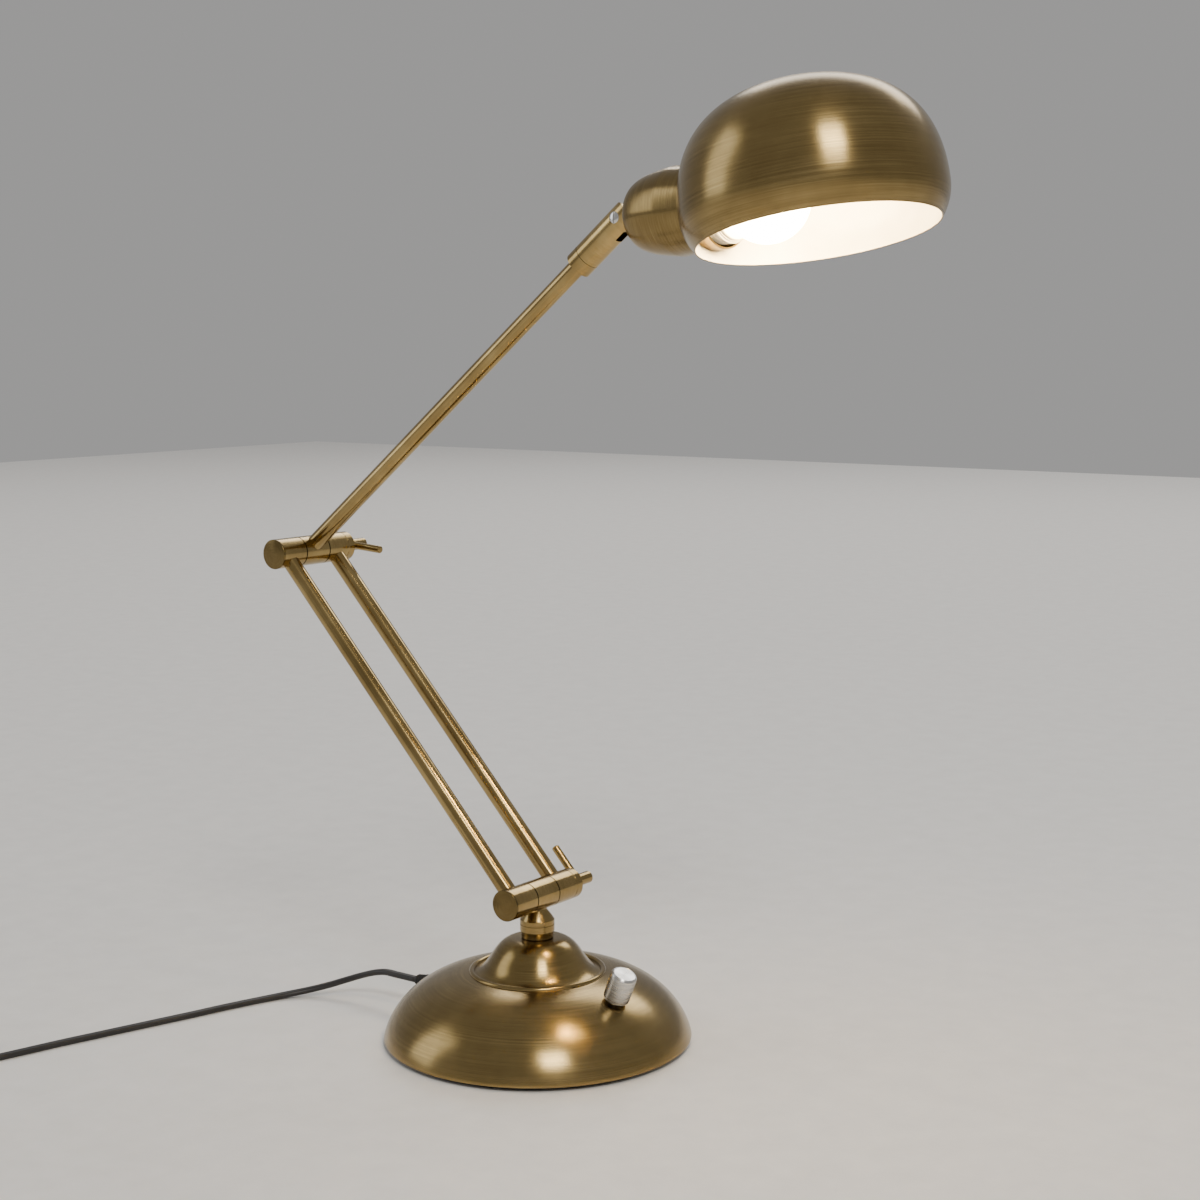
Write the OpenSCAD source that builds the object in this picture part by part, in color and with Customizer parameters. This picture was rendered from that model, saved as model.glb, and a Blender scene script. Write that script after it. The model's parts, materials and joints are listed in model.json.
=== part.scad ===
// Swing arm desk lamp. The origin is the centre of the foot pad on the table, +Z is up,
// +X points along the arm towards the shade, and the two friction hinges turn about Y.

/* [Pose] */
// Lean of the lower arm, backwards from upright
lower_tilt = 43; // [20:1:75]
// Lean of the upper arm, forwards from upright
upper_tilt = 51; // [30:1:75]
// Turn of the head about the upper tube
head_turn = -5; // [-20:1:20]
// Rise of the shade's mouth, outwards from level
shade_tilt = 12; // [-10:1:30]

/* [Base] */
// Diameter of the base shell at its rim
base_d = 178; // [160:1:215]
// Height of the bell's flat top above the table
bell_h = 60.5; // [56:0.5:75]
// Diameter of the raised bead round the bell
bead_d = 76; // [70:1:84]
// Height of the bead's foot above the table
bead_h = 41; // [38:0.5:46]
// Diameter of the bell's flat top
bell_top_d = 28; // [24:1:36]
// Thickness of the spun sheet
base_wall = 1.5; // [1:0.1:2]
// Thickness of the foot pad
pad_t = 2; // [1.5:0.5:4]
// Thickness of the bottom plate
plate_t = 1.2; // [0.8:0.1:2]
// Height of the cast weight
weight_h = 11; // [6:1:13]
// Length of the knob
knob_l = 17; // [12:1:22]
// Diameter of the knob
knob_d = 15; // [12:0.5:18]
// Turn of the knob's place about the base, from the arm's plane
knob_turn = -6; // [-30:1:30]

/* [Hinges] */
// Height of the lower hinge's axis above the bell
neck_h = 25; // [22:0.5:36]
// Diameter of the hinge barrels
barrel_d = 18; // [16:0.5:22]
// Length of a knuckle with its seam
knuckle_l = 20; // [18:0.5:26]
// Thickness of a seam between two knuckles
seam = 0.8; // [0.6:0.1:1.2]
// Diameter of the clamp bolts
bolt_d = 5.6; // [5:0.1:7]
// Length of a clamp nut
nut_l = 5.6; // [5:0.1:8]
// How far a clamp nut's boss stands out behind the nut
stub_l = 17; // [6:1:22]
// Diameter of a clamp lever
lever_d = 4.6; // [3:0.1:5.5]
// Reach of a clamp lever from the hinge's axis
lever_reach = 24.5; // [18:0.5:34]

/* [Arms] */
// Distance between the two hinge axes
lower_len = 258; // [200:1:340]
// Distance from the elbow's axis to the head's pivot
upper_len = 306; // [220:1:380]
// Diameter of the three arm tubes
tube_d = 10; // [8:0.5:12]
// Wall of the arm tubes
tube_wall = 1; // [0.8:0.1:1.5]

/* [Head] */
// Diameter of the clevis sleeve
sleeve_d = 16; // [14:0.5:18]
// Length of the turning sleeve below the pivot
sleeve_l = 30.4; // [26:0.2:40]
// Length of the fixed ring below the sleeve
ring_l = 7.5; // [5:0.5:12]
// Thickness of the tongue
tongue_t = 5; // [4:0.5:7]
// Diameter of the pivot screw
pivot_d = 4; // [3:0.5:5]
// Largest diameter of the shade
shade_d = 136.2; // [124:0.2:165]
// Diameter of the shade's mouth
mouth_d = 124.8; // [112:0.2:150]
// Height of the shade's widest ring above its mouth
waist_h = 18; // [12:1:26]
// Height of the shade
shade_h = 77.2; // [72:0.2:95]
// Thickness of the shade's sheet
shade_wall = 1; // [0.8:0.1:1.5]
// Diameter of the socket cup
cup_d = 45; // [43:0.5:52]
// Distance from the pivot to the back of the cup
cup_gap = 11; // [10.5:0.5:16]
// Height of the pivot above the shade's mouth
cup_rise = 38.1; // [34:0.1:44]
// Fall of the cup's axis towards the mouth
cup_tilt = 8; // [0:1:10]
// Diameter of the bulb's glass
bulb_d = 45; // [35:1:46]

/* [Cord] */
// Width of the flat cord
cord_w = 5.4; // [4.8:0.1:6.4]
// Thickness of the flat cord
cord_t = 3.4; // [2.8:0.1:4]

/* [Hidden] */

$fn = 96;
steps = 14;              // points in each curved outline
eps = 0.01;
gap = 0.3;               // clearance between pieces that move past each other
running = 0.05;          // radial clearance of a turning fit
brass = [0.62, 0.49, 0.27];
steel = [0.72, 0.72, 0.74];
dark = [0.12, 0.11, 0.1];

function bezier(a, b, c, d, t) =
    pow(1 - t, 3) * a + 3 * t * pow(1 - t, 2) * b + 3 * t * t * (1 - t) * c + pow(t, 3) * d;
function curve(a, b, c, d) = [for (i = [0:steps]) bezier(a, b, c, d, i / steps)];

// Base outline
base_r = base_d / 2;
rim_h = pad_t + 0.3;                     // the rim hangs just clear of the table
rim_edge = 1.4;                          // short upright edge of the rim
bead_r = bead_d / 2;
bell_r = bell_top_d / 2;
bead_t = 1.6;                            // radius of the bead's wire
dome_start = [base_r, rim_h + rim_edge];
dome_pull = [base_r * 0.955, bead_h * 0.51];
dome_push = [base_r * 0.764, bead_h * 0.927];
dome_end = [bead_r, bead_h];
bell_start = [bead_r - bead_t, bead_h + 0.2];
bell_pull = [bead_r * 0.71, bead_h + (bell_h - bead_h) * 0.12];
bell_push = [bead_r * 0.684, bell_h - 1.2];
bell_end = [bell_r, bell_h];

// Place and slope of the dimmer on the dome
knob_at = 0.72;                          // place along the dome's curve
knob_point = bezier(dome_start, dome_pull, dome_push, dome_end, knob_at);
knob_ahead = bezier(dome_start, dome_pull, dome_push, dome_end, knob_at + 0.01);
knob_slope = atan2(knob_ahead[1] - knob_point[1], knob_point[0] - knob_ahead[0]);
knob_lift = 1.6;                         // dark gap under the knob
knob_top_t = 2.6;                        // metal above the shaft's end
dimmer_hole = 7.2;
bush_d = 7;
shaft_d = 6;

// Inside the base
weight_z = pad_t + plate_t;
pad_inset = 5;                           // the pad's edge inside the rim
plate_inset = 4;
weight_inset = 9;
weight_edge_h = 3;
weight_bore = 18;                        // room for the swivel's nut, at the weight's foot
plate_screw_d = 4;
plate_head_d = 7.6;
plate_head_t = 1.4;
plate_screw_inset = 24;
screw_bite = 7;                          // thread in the cast weight
pot_d = 22;                              // the dimmer's can
pot_l = 10;
pot_drop = 2;                            // from the shell's inner side to the can
dimmer_nut_d = 10.4;                     // across the corners
dimmer_nut_t = 1.6;
knob_well_d = 11.4;                      // hollow under the knob, over the nut
knob_well_t = 1.4;
knob_bevel = 0.6;
nut_foot = 0.2;                          // the nut's underside on the domed shell
shaft_foot = 1;                          // the shaft's foot above the can, less a gap
clamp_l = 7;                             // cord clamp along the cord
clamp_w = 18;
terminal_l = 16;
terminal_w = 18;
terminal_h = 9;
terminal_screw_d = 3;

// Neck
hinge_h = bell_h + neck_h;               // the lower hinge's axis above the table
stem_d = 10;
stem_bore = 6;
stem_drop = 14;                          // below the bell's flat top
swivel_washer_d = 18;
collar_d = 20;
collar_foot_d = 18.6;
collar_top_d = 11;
foot_l = 3.8;                            // the collar's narrow foot
belt_l = 7.2;                            // its widest belt
groove_at = 3.2;                         // from the belt's top to a fine groove round it
groove_w = 0.4;
groove_t = 0.3;
collar_top_in = 5;                       // the collar reaches into the barrel, near its axis
swivel_nut_h = 6;
swivel_nut_d = 16.2;                     // across the corners
washer_t = 1;

// Barrel lengths along Y
mid_half = (knuckle_l - seam) / 2;
outer_start = mid_half + seam;
outer_end = outer_start + knuckle_l - seam;
cap_t = 1.2;
nut_room = 3.8;                          // the rear knuckle is shorter, to take the nut
nut_start = outer_start + knuckle_l - nut_room;
nut_end = nut_start + gap + nut_l;
rod_y = knuckle_l;
rod_seat = 4;                            // the tubes end this far from the hinge's axis
washer_gap = 0.2;
bolt_head_d = 11;
head_gap = 0.4;                          // from the bolt's head to the front rod
bolt_head_t = outer_end - cap_t - rod_y - tube_d / 2 - head_gap;
boss_d = bolt_d + 1.6;                   // the nut's long boss, which takes the lever
lever_y = nut_end + 0.37 * stub_l;       // the lever's place along the boss
bolt_end = lever_y - lever_d / 2 - 1;    // the bolt ends inside the boss
lever_tip = 0.6;                         // bevel at a lever's end

// Head
pin_reach = sleeve_d / 2 - 1.2;          // from the pivot's middle to the screw's head and nut
pivot_head_d = 6.4;
pivot_nut_d = 7;                         // across the corners
slot_w = tongue_t + 2 * washer_gap;
slot_back = 9.2;                         // depth of the slot below the pivot
sleeve_web = 5.6;                        // solid sleeve between the slot and the tube's bore
sleeve_cut = 40;                         // wider than the sleeve
tongue_r = 7.4;
tongue_h = 10;
cup_wall = 1.2;
pivot_u = -120;                          // the pivot, along the mouth from the shade's axis
cup_curve = 28;                          // length of the cup's rounded back
cup_l = 56;                              // from the cup's back to its mouth inside the shade
holder_d = 38;
holder_back = 6;                         // from the cup's back to the holder
cup_screw_d = 4;
screw_head_t = 2.4;
holder_boss = cup_wall + screw_head_t - holder_back;   // the holder's foot on the screw head
cap_d = 26;
holder_l = 57;
holder_bore_d = cap_d + 1.2;
holder_floor = 16;                       // depth of solid behind the cap's bore
shade_ring_at = 47;                            // from the holder's foot to its shade ring
shade_ring_l = 8;
shade_ring_lip = 3;                            // length of each of its two lips
shade_ring_step = 0.7;                         // the groove between them
contact_d = 9;
contact_l = 4.8;
glass_neck_d = 25;
shade_ring_d = 40;

function elbow_x() = -lower_len * sin(lower_tilt);
function elbow_z() = hinge_h + lower_len * cos(lower_tilt);
function shade_r() = shade_d / 2;

// The cord: its way from the strain relief over the table, then the coil
relief_z = 18;                           // height of the strain relief's axis
dome_curve = curve(dome_start, dome_pull, dome_push, dome_end);
flank_r = lookup(relief_z, [for (p = dome_curve) [p[1], p[0]]]);
relief_tip = flank_r + 8;                // where the relief ends, from the lamp's axis
relief_end = 110;                        // where the cord's tail ends, from the lamp's axis
relief_neck_d = 8;                       // where it passes the shell
relief_disc_d = 11;                      // the disc that holds it inside
relief_disc_t = 1.8;
relief_disc_at = flank_r - 12.6;
disc_clear = 0.93;                       // from the weight's slope to the relief's disc
weight_top_z = weight_z + weight_h;
disc_share = max(0, (weight_top_z - relief_z + relief_disc_d / 2) / (weight_h - weight_edge_h));
weight_top_r = (relief_disc_at - disc_clear - disc_share * (base_r - weight_inset)) / (1 - disc_share);
clamp_x = 6 - weight_top_r;              // outer side of the cord clamp on the weight
tail_end = clamp_x + clamp_l + 2;        // where the cord's tail enters the terminal block
relief_foot_d = 9;
relief_tip_d = 6.6;
cord_route = [
    [-relief_end, 0, relief_z], [-118, 0, relief_z], [-126, -1, 16.5], [-135, -3, 13.6],
    [-144, -7, 10.2], [-153, -13, 6.8], [-162, -21, 4.1], [-170, -31, 2.5],
    [-176, -43, 1.8], [-181, -57, 1.7], [-186, -73, 1.7], [-191, -91, 1.7],
    [-197, -111, 1.7], [-203, -131, 1.7], [-209, -151, 1.7], [-215, -171, 1.7],
    [-220, -190, 1.7], [-225, -209, 1.7], [-230, -227, 1.7], [-234, -241, 1.7]];
coil_x = -273;
coil_y = -232;
coil_mid_r = 29.7;                       // radius at the middle of the turns
coil_half_w = 13.5;
coil_h = 7.2;
tie_w = 6;
tie_t = 1;
tie_slack = 0.4;
end_route = [
    [-253, -267.2, 5.2], [-260, -271.2, 5.2], [-267, -275.2, 5.8], [-274, -279.2, 6.5],
    [-281, -283.2, 6.5]];
plug_turn = 180 + atan2(4, 7);           // heading of the plug's nose, as the cord's last step
tie_turn = 200;                          // place of the tie on the coil

// ---- shared shapes ----

// A solid turned about Z from an outline of [radius, height] points
module turned(outline) rotate_extrude() polygon(outline);

// A cylinder along Y, centred on y
module along_y(d, from, to) translate([0, from, 0]) rotate([-90, 0, 0]) cylinder(d = d, h = to - from);

// Places children in the lower arm's frame, whose Z runs from hinge to hinge
module on_lower() translate([0, 0, hinge_h]) rotate([0, -lower_tilt, 0]) children();

// Places children in the upper arm's frame, whose Z runs from the elbow to the head
module on_upper() translate([elbow_x(), 0, elbow_z()]) rotate([0, upper_tilt, 0]) children();

// Places children at the head's pivot, turned with the sleeve about the upper tube
module on_sleeve() on_upper() translate([0, 0, upper_len]) rotate([0, 0, head_turn]) children();

// Places children in the shade's frame: its origin is the pivot and Z is the shade's axis
module on_head() on_sleeve() rotate([0, -upper_tilt - shade_tilt, 0]) children();

// Places children with Z along the cup's axis, starting at the pivot
module on_cup() on_head() rotate([0, 90 + cup_tilt, 0]) children();

// Places children with the shade's mouth centre as their origin
module on_shade() on_head() translate([-pivot_u, 0, -cup_rise]) children();

// Places children on the dome where the dimmer comes through, Z along its normal
module on_dome() rotate(knob_turn)
    translate([knob_point[0], 0, knob_point[1]]) rotate([0, knob_slope, 0]) children();

// ---- base ----

// The base's outer outline, drawn in by a wall
function base_outline(w) = concat(
    [[0, rim_h - (w > 0 ? 1 : 0)], [base_r - w, rim_h - (w > 0 ? 1 : 0)], [base_r - w, rim_h + rim_edge]],
    [for (i = [1:steps]) let (p = bezier(dome_start, dome_pull, dome_push, dome_end, i / steps))
        [p[0] - w * (1 - 0.55 * i / steps), p[1] - w * i / steps]],
    [for (i = [1:steps]) let (p = bezier(bell_start, bell_pull, bell_push, bell_end, i / steps))
        [p[0] - w * 0.55, p[1] - w]],
    [[0, bell_h - w]]);

module bead_ring() rotate_extrude() translate([bead_r, bead_h]) circle(r = bead_t, $fn = 24);

module base_shell() color(brass) difference() {
    union() {
        turned(base_outline(0));
        bead_ring();
    }
    turned(base_outline(base_wall));
    translate([0, 0, bell_h / 2]) cylinder(d = stem_d + 2 * running, h = bell_h);
    on_dome() translate([0, 0, -10]) cylinder(d = dimmer_hole, h = 20);
    translate([0, 0, relief_z]) rotate([0, -90, 0]) cylinder(d = relief_neck_d, h = relief_end);
}

module plate_places() for (a = [60, 180, 300]) rotate(a)
    translate([base_r - plate_screw_inset, 0, 0]) children();

module bottom_plate() color("dimgray") difference() {
    translate([0, 0, pad_t]) cylinder(r = base_r - plate_inset, h = plate_t);
    plate_places() cylinder(d = plate_screw_d + 0.2, h = 10);
}

module foot_pad() color(dark) difference() {
    cylinder(r = base_r - pad_inset, h = pad_t);
    translate([0, 0, -1]) plate_places() cylinder(d = plate_head_d + 0.8, h = 10);
}

module cast_weight() color("darkslategray") difference() {
    turned([[weight_bore, weight_z], [base_r - weight_inset, weight_z],
        [base_r - weight_inset, weight_z + weight_edge_h], [weight_top_r, weight_z + weight_h],
        [weight_bore + 4, weight_z + weight_h]]);
    plate_places() cylinder(d = plate_screw_d, h = weight_z + screw_bite + 1);
}

module plate_screws() color(steel) plate_places() {
    translate([0, 0, pad_t - plate_head_t]) cylinder(d = plate_head_d, h = plate_head_t);
    translate([0, 0, pad_t - eps]) cylinder(d = plate_screw_d, h = weight_z - pad_t + screw_bite);
}

module dimmer_body() color("dimgray") on_dome() union() {
    translate([0, 0, -base_wall - pot_drop - pot_l]) cylinder(d = pot_d, h = pot_l);
    translate([0, 0, -base_wall - pot_drop - eps]) difference() {
        cylinder(d = bush_d, h = base_wall + pot_drop + nut_foot + dimmer_nut_t + 0.5);
        translate([0, 0, shaft_foot]) cylinder(d = shaft_d + 2 * running, h = knob_l);
    }
}

module dimmer_nut() color(steel) on_dome() translate([0, 0, nut_foot]) difference() {
    cylinder(d = dimmer_nut_d, h = dimmer_nut_t, $fn = 6);
    translate([0, 0, -1]) cylinder(d = bush_d, h = 4);
}

module dimmer_shaft() color(steel) on_dome() translate([0, 0, shaft_foot + gap - base_wall - pot_drop])
    cylinder(d = shaft_d, h = knob_lift + knob_l - knob_top_t - shaft_foot - gap + base_wall + pot_drop);

module dimmer_knob() color(steel) on_dome() translate([0, 0, knob_lift]) difference() {
    turned([[0, 0], [knob_d / 2 - knob_bevel, 0], [knob_d / 2, knob_bevel],
        [knob_d / 2, knob_l - 2 * knob_bevel], [knob_d / 2 - knob_bevel, knob_l - knob_bevel],
        [knob_d / 2 - 2 * knob_bevel, knob_l], [0, knob_l]]);
    translate([0, 0, -1]) cylinder(d = knob_well_d, h = 1 + knob_well_t);
    translate([0, 0, -1]) cylinder(d = shaft_d, h = knob_l + 1 - knob_top_t);
}

module terminal_block() color("ivory") difference() {
    translate([tail_end, -terminal_w / 2, weight_z + weight_h]) cube([terminal_l, terminal_w, terminal_h]);
    for (side = [-1, 1])
        translate([tail_end + terminal_l / 2, side * terminal_w / 4, weight_z + weight_h + 4])
            cylinder(d = terminal_screw_d, h = terminal_h);
}

module cord_clamp() color("gainsboro") difference() {
    translate([clamp_x, -clamp_w / 2, weight_z + weight_h])
        cube([clamp_l, clamp_w, relief_z + cord_t / 2 + 2 - weight_z - weight_h]);
    translate([clamp_x - 1, -cord_w / 2, relief_z - cord_t / 2]) cube([clamp_l + 2, cord_w, cord_t]);
}

module cord_tail() color(dark) translate([-relief_end, -cord_w / 2, relief_z - cord_t / 2])
    cube([relief_end + tail_end, cord_w, cord_t]);

// The relief is a cone outside, a neck through the shell and a disc inside
module cord_strain_relief() color(dark) difference() {
    translate([0, 0, relief_z]) rotate([0, -90, 0]) union() {
        difference() {
            turned([[0, relief_disc_at], [relief_foot_d / 2, relief_disc_at],
                [relief_foot_d / 2, flank_r + 1], [relief_foot_d / 2 - 0.5, flank_r + 2.5],
                [relief_tip_d / 2, relief_tip], [0, relief_tip]]);
            translate([-relief_z, 0, 0]) rotate([0, 90, 0]) turned(base_outline(-eps));
        }
        translate([0, 0, relief_disc_at]) cylinder(d = relief_neck_d - 2 * running, h = 14);
        translate([0, 0, relief_disc_at]) cylinder(d = relief_disc_d, h = relief_disc_t);
    }
    translate([-relief_end - 1, -cord_w / 2, relief_z - cord_t / 2]) cube([relief_end, cord_w, cord_t]);
}

// ---- cord ----

function unit(v) = v / norm(v);
function heading(route, i) = unit(route[min(i + 1, len(route) - 1)] - route[max(i - 1, 0)]);
function beside(route, i) = unit(cross([0, 0, 1], heading(route, i)));
cord_sides = 10;
function cord_ring(route, i) = [for (k = [0:cord_sides - 1]) let (a = 360 * k / cord_sides)
    route[i] + beside(route, i) * cord_w / 2 * cos(a)
        + cross(heading(route, i), beside(route, i)) * cord_t / 2 * sin(a)];

// A flat cord swept along a route of points
module flat_cord(route) let (n = cord_sides, last = len(route) - 1) polyhedron(
    points = [for (i = [0:last]) each cord_ring(route, i)],
    faces = concat(
        [[for (k = [0:n - 1]) k]],
        [for (i = [0:last - 1], k = [0:n - 1]) let (m = (k + 1) % n)
            [i * n + m, i * n + k, (i + 1) * n + k, (i + 1) * n + m]],
        [[for (k = [n - 1:-1:0]) last * n + k]]));

module power_cord() color(dark) flat_cord(cord_route);
module power_cord_end() color(dark) flat_cord(end_route);

module power_cord_coil() color(dark) translate([coil_x, coil_y, 0]) rotate_extrude()
    translate([coil_mid_r - coil_half_w, 0]) square([2 * coil_half_w, coil_h]);

module cord_tie() color("dimgray") translate([coil_x, coil_y, 0]) rotate(tie_turn)
    translate([coil_mid_r - coil_half_w - tie_t - tie_slack, -tie_w / 2, 0]) difference() {
        cube([2 * (coil_half_w + tie_t + tie_slack), tie_w, coil_h + tie_t]);
        translate([tie_t, -1, -1]) cube([2 * (coil_half_w + tie_slack), tie_w + 2, coil_h + 1]);
    }

plug_l = 34;
plug_w = 26;
plug_h = 13;
plug_tail_w = 12;
pin_d = 4;
pin_l = 19;
module on_plug() translate([end_route[4][0], end_route[4][1], 0]) rotate(plug_turn) children();
module plug_body() color(dark) on_plug() linear_extrude(plug_h) polygon([
    [0, -plug_tail_w / 2], [plug_l * 0.45, -plug_w / 2], [plug_l, -plug_w / 2],
    [plug_l, plug_w / 2], [plug_l * 0.45, plug_w / 2], [0, plug_tail_w / 2]]);

module plug_pins() color(steel) on_plug() translate([plug_l, 0, plug_h / 2])
    for (side = [-1, 1]) translate([0, side * 9.5, 0]) rotate([0, 90, 0]) cylinder(d = pin_d, h = pin_l);

// ---- neck ----

module swivel_stem() color(steel) difference() {
    translate([0, 0, bell_h - stem_drop]) cylinder(d = stem_d, h = stem_drop + foot_l);
    translate([0, 0, bell_h - stem_drop - 1]) cylinder(d = stem_bore, h = 2 * stem_drop);
}

module swivel_washer() color(steel) translate([0, 0, bell_h - base_wall - gap - washer_t]) difference() {
    cylinder(d = swivel_washer_d, h = washer_t);
    translate([0, 0, -1]) cylinder(d = stem_d, h = 4);
}

module swivel_nut() color(steel)
    translate([0, 0, bell_h - base_wall - gap - washer_t - swivel_nut_h]) difference() {
        cylinder(d = swivel_nut_d, h = swivel_nut_h, $fn = 6);
        translate([0, 0, -1]) cylinder(d = stem_d, h = swivel_nut_h + 2);
    }

collar_z = bell_h + gap;
belt_z = collar_z + foot_l;
groove_z = belt_z + belt_l - groove_at;
module neck_collar() color(brass) difference() {
    turned([[0, collar_z], [collar_foot_d / 2, collar_z], [collar_foot_d / 2, belt_z - 1],
        [collar_d / 2, belt_z], [collar_d / 2, groove_z], [collar_d / 2 - groove_t, groove_z],
        [collar_d / 2 - groove_t, groove_z + groove_w], [collar_d / 2, groove_z + groove_w],
        [collar_d / 2, belt_z + belt_l], [collar_top_d / 2, hinge_h - barrel_d / 2 + 1.4],
        [collar_top_d / 2, hinge_h - collar_top_in], [0, hinge_h - collar_top_in]]);
    translate([0, 0, collar_z - 1]) cylinder(d = stem_d, h = foot_l + 1 - gap);
    translate([0, 0, collar_z - 1]) cylinder(d = stem_bore, h = 60);
    translate([0, 0, hinge_h]) along_y(barrel_d, -20, 20);
}

module lower_mid_knuckle() color(brass) translate([0, 0, hinge_h]) difference() {
    along_y(barrel_d, -mid_half, mid_half);
    along_y(bolt_d + 2 * running, -20, 20);
    translate([0, 0, -barrel_d]) cylinder(d = stem_bore, h = barrel_d - 2);
}

// ---- a hinge's outer pieces, in a frame with the hinge's axis along Y ----

// A knuckle between two places along Y, with a seat for a rod on its upper side
module outer_knuckle(from, to, at) difference() {
    along_y(barrel_d, from, to);
    along_y(bolt_d, from - 1, to + 1);
    translate([0, at, rod_seat]) cylinder(d = tube_d, h = barrel_d);
}

module front_knuckle() difference() {
    outer_knuckle(-outer_end + cap_t, -outer_start, -rod_y);
    along_y(bolt_head_d, -outer_end, -outer_end + cap_t + bolt_head_t);
}

module rear_knuckle() outer_knuckle(outer_start, nut_start, rod_y);

module end_cap() along_y(barrel_d, -outer_end, -outer_end + cap_t);

module seam_washers() difference() {
    union() {
        along_y(barrel_d - 2, -outer_start, -mid_half - washer_gap);
        along_y(barrel_d - 2, mid_half + washer_gap, outer_start);
    }
    along_y(bolt_d, -20, 20);
}

module clamp_bolt() union() {
    along_y(bolt_d, -outer_end + cap_t, bolt_end);
    along_y(bolt_head_d, -outer_end + cap_t, -outer_end + cap_t + bolt_head_t);
}

// The clamp nut with its boss and lever, which points along Z before it is turned
module clamp_lever() difference() {
    union() {
        along_y(barrel_d - 0.2, nut_start + gap, nut_end);
        along_y(boss_d, nut_end - eps, nut_end + stub_l);
        translate([0, lever_y, 0]) {
            cylinder(d = lever_d, h = lever_reach - lever_tip);
            translate([0, 0, lever_reach - lever_tip])
                cylinder(d1 = lever_d, d2 = lever_d - 2 * lever_tip, h = lever_tip);
        }
    }
    along_y(bolt_d + 2 * running, nut_start, bolt_end + gap);
}

// ---- lower arm ----

module lower_front_knuckle() color(brass) on_lower() front_knuckle();
module lower_rear_knuckle() color(brass) on_lower() rear_knuckle();
module lower_end_cap() color(brass) on_lower() end_cap();
module lower_seam_washers() color(dark) on_lower() seam_washers();
module lower_clamp_bolt() color(steel) on_lower() clamp_bolt();
module lower_clamp_lever() color(brass) on_lower() clamp_lever();

// The same outer pieces upside down on the elbow, with the rods coming from below
module on_elbow() on_lower() translate([0, 0, lower_len]) mirror([0, 0, 1]) children();
module elbow_front_knuckle() color(brass) on_elbow() front_knuckle();
module elbow_rear_knuckle() color(brass) on_elbow() rear_knuckle();
module elbow_end_cap() color(brass) on_elbow() end_cap();
module elbow_seam_washers() color(dark) on_elbow() seam_washers();
module elbow_clamp_bolt() color(steel) on_elbow() clamp_bolt();
elbow_lever_turn = 94;                   // heading of the elbow's lever, from upright
module elbow_clamp_lever() color(brass)
    translate([elbow_x(), 0, elbow_z()]) rotate([0, elbow_lever_turn, 0]) clamp_lever();

// A tube along Z between two heights
module arm_tube(from, to) translate([0, 0, from]) difference() {
    cylinder(d = tube_d, h = to - from);
    translate([0, 0, -1]) cylinder(d = tube_d - 2 * tube_wall, h = to - from + 2);
}

module front_rod() color(brass) on_lower() translate([0, -rod_y, 0]) arm_tube(rod_seat, lower_len - rod_seat);
module rear_rod() color(brass) on_lower() translate([0, rod_y, 0]) arm_tube(rod_seat, lower_len - rod_seat);
wire_d = 5;
wire_end = 8;
module rear_rod_wire() color("black") on_lower() translate([0, rod_y, wire_end])
    cylinder(d = wire_d, h = lower_len - 2 * wire_end);

// ---- upper arm ----

module elbow_mid_knuckle() color(brass) on_upper() difference() {
    along_y(barrel_d, -mid_half, mid_half);
    along_y(bolt_d + 2 * running, -20, 20);
    translate([0, 0, rod_seat]) cylinder(d = tube_d, h = barrel_d);
}

tube_end = upper_len - slot_back - sleeve_web - 0.4;
module upper_tube() color(brass) on_upper() arm_tube(rod_seat, tube_end);

module upper_tube_wire() color("black") on_upper() translate([0, 0, wire_end])
    cylinder(d = wire_d, h = tube_end - 2 * wire_end);

module sleeve_stop_ring() color(brass) on_upper()
    translate([0, 0, upper_len - sleeve_l - gap - ring_l]) difference() {
        cylinder(d = sleeve_d, h = ring_l);
        translate([0, 0, -1]) cylinder(d = tube_d, h = ring_l + 2);
    }

// ---- head ----

// The sleeve: a turning fit on the tube, a slot for the tongue and a rounded end
module clevis_sleeve() color(brass) on_sleeve() difference() {
    intersection() {
        translate([0, 0, -sleeve_l]) cylinder(d = sleeve_d, h = sleeve_l + sleeve_d / 2);
        union() {
            along_y(sleeve_d + 0.6, -20, 20);
            translate([-sleeve_cut / 2, -sleeve_cut / 2, -sleeve_l - 1])
                cube([sleeve_cut, sleeve_cut, sleeve_l + 1]);
        }
    }
    translate([0, 0, -sleeve_l - 1])
        cylinder(d = tube_d + 2 * running, h = sleeve_l + 1 - slot_back - sleeve_web);
    translate([0, 0, -slot_back - sleeve_web - 1]) cylinder(d = wire_d + 1, h = sleeve_web + 2);
    translate([-sleeve_cut / 2, -slot_w / 2, -slot_back]) cube([sleeve_cut, slot_w, sleeve_cut]);
    along_y(pivot_d, -20, 20);
    along_y(pivot_head_d, -20, -pin_reach);
    along_y(pivot_nut_d, pin_reach, 20);
}

module pivot_screw() color(steel) on_sleeve() union() {
    along_y(pivot_d, -pin_reach - eps, pin_reach + 2.6);
    along_y(pivot_head_d, -sleeve_d / 2 - 0.4, -pin_reach);
}

module pivot_nut() color(steel) on_sleeve() difference() {
    translate([0, pin_reach, 0]) rotate([-90, 0, 0]) cylinder(d = pivot_nut_d, h = 2.2, $fn = 6);
    along_y(pivot_d, 0, 20);
}

module head_tongue() color(brass) on_cup() difference() {
    union() {
        along_y(2 * tongue_r, -tongue_t / 2, tongue_t / 2);
        translate([-tongue_h / 2, -tongue_t / 2, 0]) cube([tongue_h, tongue_t, cup_gap]);
    }
    along_y(pivot_d + 2 * running, -20, 20);
    translate([0, 0, cup_gap - 6]) cylinder(d = cup_screw_d, h = 10);
}

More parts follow.
